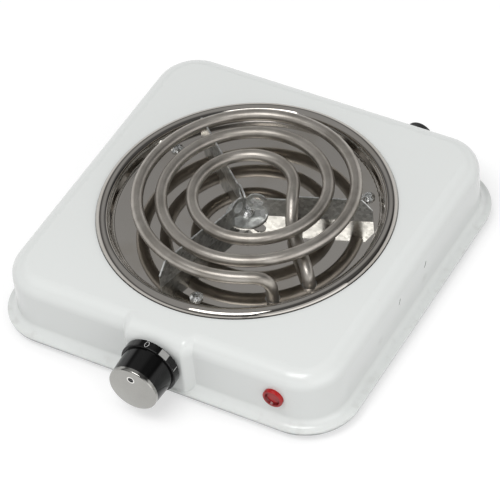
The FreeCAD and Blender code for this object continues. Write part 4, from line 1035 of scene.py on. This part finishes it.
@dataclass
class Shell(Assembly):
    """Enamelled housing with the boss behind its knob, base plate, lugs, screws, feet and cord bush."""

    sheet: float = 0.8 * MM
    shoulder_radius: float = 10.0 * MM
    flare_radius: float = 5.4 * MM
    lip_width: float = 1.0 * MM
    boss_depth: float = 5.0 * MM
    boss_face: float = 17.4 * MM
    boss_foot: float = 23.8 * MM
    boss_sink: float = 0.15 * MM
    hole_radius: float = 9.0 * MM
    hole_reach: float = 12.6 * MM
    rim_angle: float = math.radians(30.0)
    edge_steps: int = 10
    face_steps: int = 24
    strip_steps: int = 4
    shoulder_steps: int = 12
    wall_steps: int = 16
    finishes: dict[str, Finish] = field(default_factory=lambda: {
        "housing": ENAMEL,
        "base_plate": GALVANISED,
        "base_lugs": GALVANISED,
        "base_screws": ZINC,
        "feet": BLACK_RUBBER,
        "cord_gland": BLACK_RUBBER,
    })

    def __post_init__(self) -> None:
        """Reads the wall's, the top's and the knob's places from their solids."""
        low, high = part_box("housing")
        self.top = high.z
        self.wall = low.y + self.lip_width + self.flare_radius
        self.lip_top = low.z + self.sheet
        knob_low, knob_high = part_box("knob_body")
        self.axis = (knob_low + knob_high) / 2

    def build(self, shop: Workshop) -> None:
        """Makes the pressed boss that brings the front wall up to the knob."""
        shop.place("wall_boss", self.boss_mesh("wall_boss"), self.finishes["housing"], Body.STOVE)

    def boss_mesh(self, name: str) -> bpy.types.Mesh:
        """The boss as one pressed sheet with a round hole for the shaft.

        Args:
            name: The mesh's name.

        Returns:
            The mesh, in place.
        """
        form = bmesh.new()
        columns = []
        for off in self.boss_offsets():
            columns.append([form.verts.new(point) for point in self.boss_section(off)])
        for left, right in zip(columns, columns[1:]):
            for index in range(len(left) - 1):
                form.faces.new((left[index], left[index + 1], right[index + 1], right[index]))
        self.cut_hole(form)
        skin = bmesh.ops.extrude_face_region(form, geom=list(form.faces), use_keep_orig=True)
        behind = [part for part in skin["geom"] if isinstance(part, bmesh.types.BMVert)]
        bmesh.ops.translate(form, verts=behind, vec=(0.0, self.sheet, -self.sheet))
        bmesh.ops.recalc_face_normals(form, faces=form.faces)
        put_in_order(form)
        for face in form.faces:
            face.smooth = True
        for edge in form.edges:
            edge.smooth = edge.calc_face_angle(0.0) < self.rim_angle
        mesh = bpy.data.meshes.new(name)
        form.to_mesh(mesh)
        form.free()
        return mesh

    def cut_hole(self, form: bmesh.types.BMesh) -> None:
        """Takes out the faces round the shaft and draws the edge that is left to a circle.

        Args:
            form: The boss's sheet.
        """
        inside = [
            face for face in form.faces
            if self.off_axis(face.calc_center_median()) < self.hole_radius]
        bmesh.ops.delete(form, geom=inside, context="FACES")
        for vertex in form.verts:
            off = self.off_axis(vertex.co)
            if vertex.is_boundary and off < self.hole_reach:
                grow = self.hole_radius / off
                vertex.co.x = self.axis.x + (vertex.co.x - self.axis.x) * grow
                vertex.co.z = self.axis.z + (vertex.co.z - self.axis.z) * grow

    def off_axis(self, point: Vector) -> float:
        """Distance of a point from the knob's axis."""
        return math.hypot(point.x - self.axis.x, point.z - self.axis.z)

    def boss_offsets(self) -> list[float]:
        """Places of the boss's sections, left to right from the knob's axis, closer on its two sides.

        Returns:
            The offsets in metres.
        """
        step = (self.boss_foot - self.boss_face) / self.edge_steps
        side = [self.boss_face + step * index for index in range(1, self.edge_steps + 1)]
        pitch = 2 * self.boss_face / self.face_steps
        middle = [-self.boss_face + pitch * index for index in range(self.face_steps + 1)]
        return [-off for off in reversed(side)] + middle + side

    def boss_section(self, off: float) -> list[Point]:
        """One upright section: flush with the top, round the shoulder and down to the lip.

        Args:
            off: The section's offset from the knob's axis.

        Returns:
            The section's points, from the top down.
        """
        rise = min(1.0, (self.boss_foot - abs(off)) / (self.boss_foot - self.boss_face))
        ease = smooth_step(rise)
        depth = -self.boss_sink + (self.boss_depth + self.boss_sink) * ease
        radius = self.shoulder_radius
        back = self.wall + radius
        front = back - depth
        top = self.top - self.boss_sink * (1.0 - ease)
        low = top - radius
        spread = self.flare_radius - min(max(depth, 0.0), self.flare_radius)
        fall = math.sqrt(self.flare_radius ** 2 - spread ** 2)
        foot = self.lip_top + self.flare_radius - fall - self.boss_sink
        section = [(back - depth * index / self.strip_steps, top) for index in range(self.strip_steps)]
        for index in range(self.shoulder_steps + 1):
            turn = math.pi / 2 * index / self.shoulder_steps
            section.append((front - radius * math.sin(turn), low + radius * math.cos(turn)))
        for index in range(1, self.wall_steps + 1):
            section.append((front - radius, low + (foot - low) * index / self.wall_steps))
        return [(self.axis.x + off, along, height) for along, height in section]


@dataclass
class Burner(Assembly):
    """Drip pan, heating coil, its notched support and what holds them."""

    pan: SpunSteelFinish = POLISHED
    finishes: dict[str, Finish] = field(default_factory=lambda: {
        "pan_clips": GALVANISED,
        "pan_screws": ZINC,
        "pan_nuts": ZINC,
        "heating_coil": SHEATH,
        "element_plate": GALVANISED,
        "element_beads": STEATITE,
        "element_pins": TURNED,
        "coil_support": BLADES,
        "hub_screw": ZINC,
        "hub_nut": ZINC,
    })

    def dress(self, shop: Workshop) -> None:
        """Dresses the burner's solids; the painted shade of the pan's seam lies where its rim meets the
        housing's top.

        Args:
            shop: The workshop that holds them.
        """
        low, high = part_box("drip_pan")
        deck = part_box("housing")[1].z
        shop.dress({"drip_pan": replace(self.pan, rim_radius=(high.x - low.x) / 2, deck=deck)})
        super().dress(shop)


@dataclass
class Control(Assembly):
    """Knob with its printed dial and metal cap, and the thermostat behind it."""

    skirt_depth: float = 5.2 * MM
    figure_size: float = 6.5 * MM
    figure_thinning: float = -0.18 * MM
    weld_distance: float = 0.0001 * MM
    block_turn: float = math.radians(38.0)
    block_size: Span = (5.6 * MM, 4.6 * MM)
    block_steps: tuple[int, int] = (14, 4)
    print_thickness: float = 0.03 * MM
    dot_rise: float = 8.0 * MM
    cap: CrownedFinish = SATIN_CAP
    finishes: dict[str, Finish] = field(default_factory=lambda: {
        "knob_body": BLACK_PLASTIC,
        "thermostat_shaft": TURNED,
        "thermostat_frame": ZINC,
        "thermostat_nut": ZINC,
        "thermostat_spacers": STEATITE,
        "stack_rivet": TURNED,
        "bimetal_strip": BIMETAL,
        "contact_leaf": BRASS,
        "fixed_leaf": BRASS,
    })

    def __post_init__(self) -> None:
        """Reads the knob's place from its solid."""
        low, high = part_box("knob_body")
        self.radius = (high.x - low.x) / 2
        self.axis = (low + high) / 2
        self.skirt_middle = high.y - self.skirt_depth / 2

    def build(self, shop: Workshop) -> None:
        """Prints the dial's figures and its block round the skirt.

        Args:
            shop: The workshop that holds the solids.
        """
        for figure in DialFigure:
            name = f"dial_figure_{figure.text}"
            shop.place(name, self.figure_mesh(figure, name), DIAL_PRINT, Body.KNOB)
        shop.place("dial_block", self.block_mesh("dial_block"), DIAL_BLOCK, Body.KNOB)

    def figure_mesh(self, figure: DialFigure, name: str) -> bpy.types.Mesh:
        """One figure, laid round the skirt.

        Args:
            figure: The figure and its place.
            name: The mesh's name.

        Returns:
            The mesh, in place.
        """
        text = bpy.data.curves.new("figure", "FONT")
        text.body = figure.text
        text.size = self.figure_size
        text.extrude = self.print_thickness
        text.offset = self.figure_thinning
        text.align_x = "CENTER"
        text.align_y = "CENTER"
        flat = put_in_scene("figure", text)
        bpy.context.view_layer.update()
        mesh = bpy.data.meshes.new_from_object(
            flat.evaluated_get(bpy.context.evaluated_depsgraph_get()))
        bpy.data.objects.remove(flat)
        mesh.name = name
        heights = [vertex.co.y for vertex in mesh.vertices]
        middle = (max(heights) + min(heights)) / 2
        form = bmesh.new()
        form.from_mesh(mesh)
        bmesh.ops.remove_doubles(form, verts=form.verts, dist=self.weld_distance)
        bmesh.ops.translate(form, verts=form.verts, vec=(0.0, -middle, 0.0))
        return self.laid_round(form, figure.turn, mesh)

    def block_mesh(self, name: str) -> bpy.types.Mesh:
        """The printed block between the first two figures.

        Args:
            name: The mesh's name.

        Returns:
            The mesh, in place.
        """
        width, depth = self.block_size
        across, along = self.block_steps
        form = bmesh.new()
        bmesh.ops.create_grid(form, x_segments=across, y_segments=along, size=0.5)
        for vertex in form.verts:
            vertex.co = (vertex.co.x * width, vertex.co.y * depth, self.print_thickness)
        return self.laid_round(form, self.block_turn, bpy.data.meshes.new(name))

    def laid_round(self, form: bmesh.types.BMesh, turn: float,
                   mesh: bpy.types.Mesh) -> bpy.types.Mesh:
        """Lays a flat print round the skirt.

        Args:
            form: The flat print: X across, Y towards the wall, Z out of the skirt.
            turn: Its angle from the top.
            mesh: The mesh to fill.

        Returns:
            The filled mesh.
        """
        for vertex in form.verts:
            across, along, out = vertex.co
            angle = turn + across / self.radius
            reach = self.radius + out
            vertex.co = (
                self.axis.x + reach * math.sin(angle),
                self.skirt_middle + along,
                self.axis.z + reach * math.cos(angle))
        bmesh.ops.recalc_face_normals(form, faces=form.faces)
        form.to_mesh(mesh)
        form.free()
        return mesh

    def dress(self, shop: Workshop) -> None:
        """Dresses the control's solids; the cap gets its pointer dot.

        Args:
            shop: The workshop that holds them.
        """
        super().dress(shop)
        dot = (self.axis.x, 0.0, self.axis.z + self.dot_rise)
        shop.dress({"knob_cap": replace(self.cap, dot=dot, middle=tuple(self.axis))})


@dataclass
class PilotLamp(Assembly):
    """Red lens with its neon bulb and spring clip."""

    lens: LensFinish = RED_LENS
    bulb: LensFinish = LAMP_GLASS
    finishes: dict[str, Finish] = field(default_factory=lambda: {"lamp_clip": TURNED})

    def dress(self, shop: Workshop) -> None:
        """Dresses the lamp's solids about the lens's own axis.

        Args:
            shop: The workshop that holds them.
        """
        low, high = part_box("lamp_lens")
        axis = tuple((low + high) / 2)
        shop.dress({
            "lamp_lens": replace(self.lens, axis=axis),
            "neon_lamp": replace(self.bulb, axis=axis),
        })
        super().dress(shop)


@dataclass
class Wiring(Assembly):
    """Terminal block, earth stud and the leads inside the housing."""

    finishes: dict[str, Finish] = field(default_factory=lambda: {
        "terminal_block": STEATITE,
        "terminal_inserts": BRASS,
        "terminal_screws": ZINC,
        "block_screw": ZINC,
        "earth_screw": BRASS,
        "earth_nut": BRASS,
        "neutral_wire": BLUE_SLEEVE,
        "live_wire": BROWN_SLEEVE,
        "switched_wire": WHITE_SLEEVE,
        "earth_wire": GREEN_SLEEVE,
        "lamp_lead_outer": WHITE_SLEEVE,
        "lamp_lead_inner": WHITE_SLEEVE,
    })


def main() -> None:
    """Builds the studio, then each sub-assembly in order."""
    logging.basicConfig(level=logging.INFO, format="%(message)s")
    shop = Workshop(frame["nodes"])
    Studio().build()
    shell = Shell()
    shell.build(shop)
    shell.dress(shop)
    Burner().dress(shop)
    control = Control()
    control.build(shop)
    control.dress(shop)
    PilotLamp().dress(shop)
    Wiring().dress(shop)


if __name__ == "__main__":
    main()
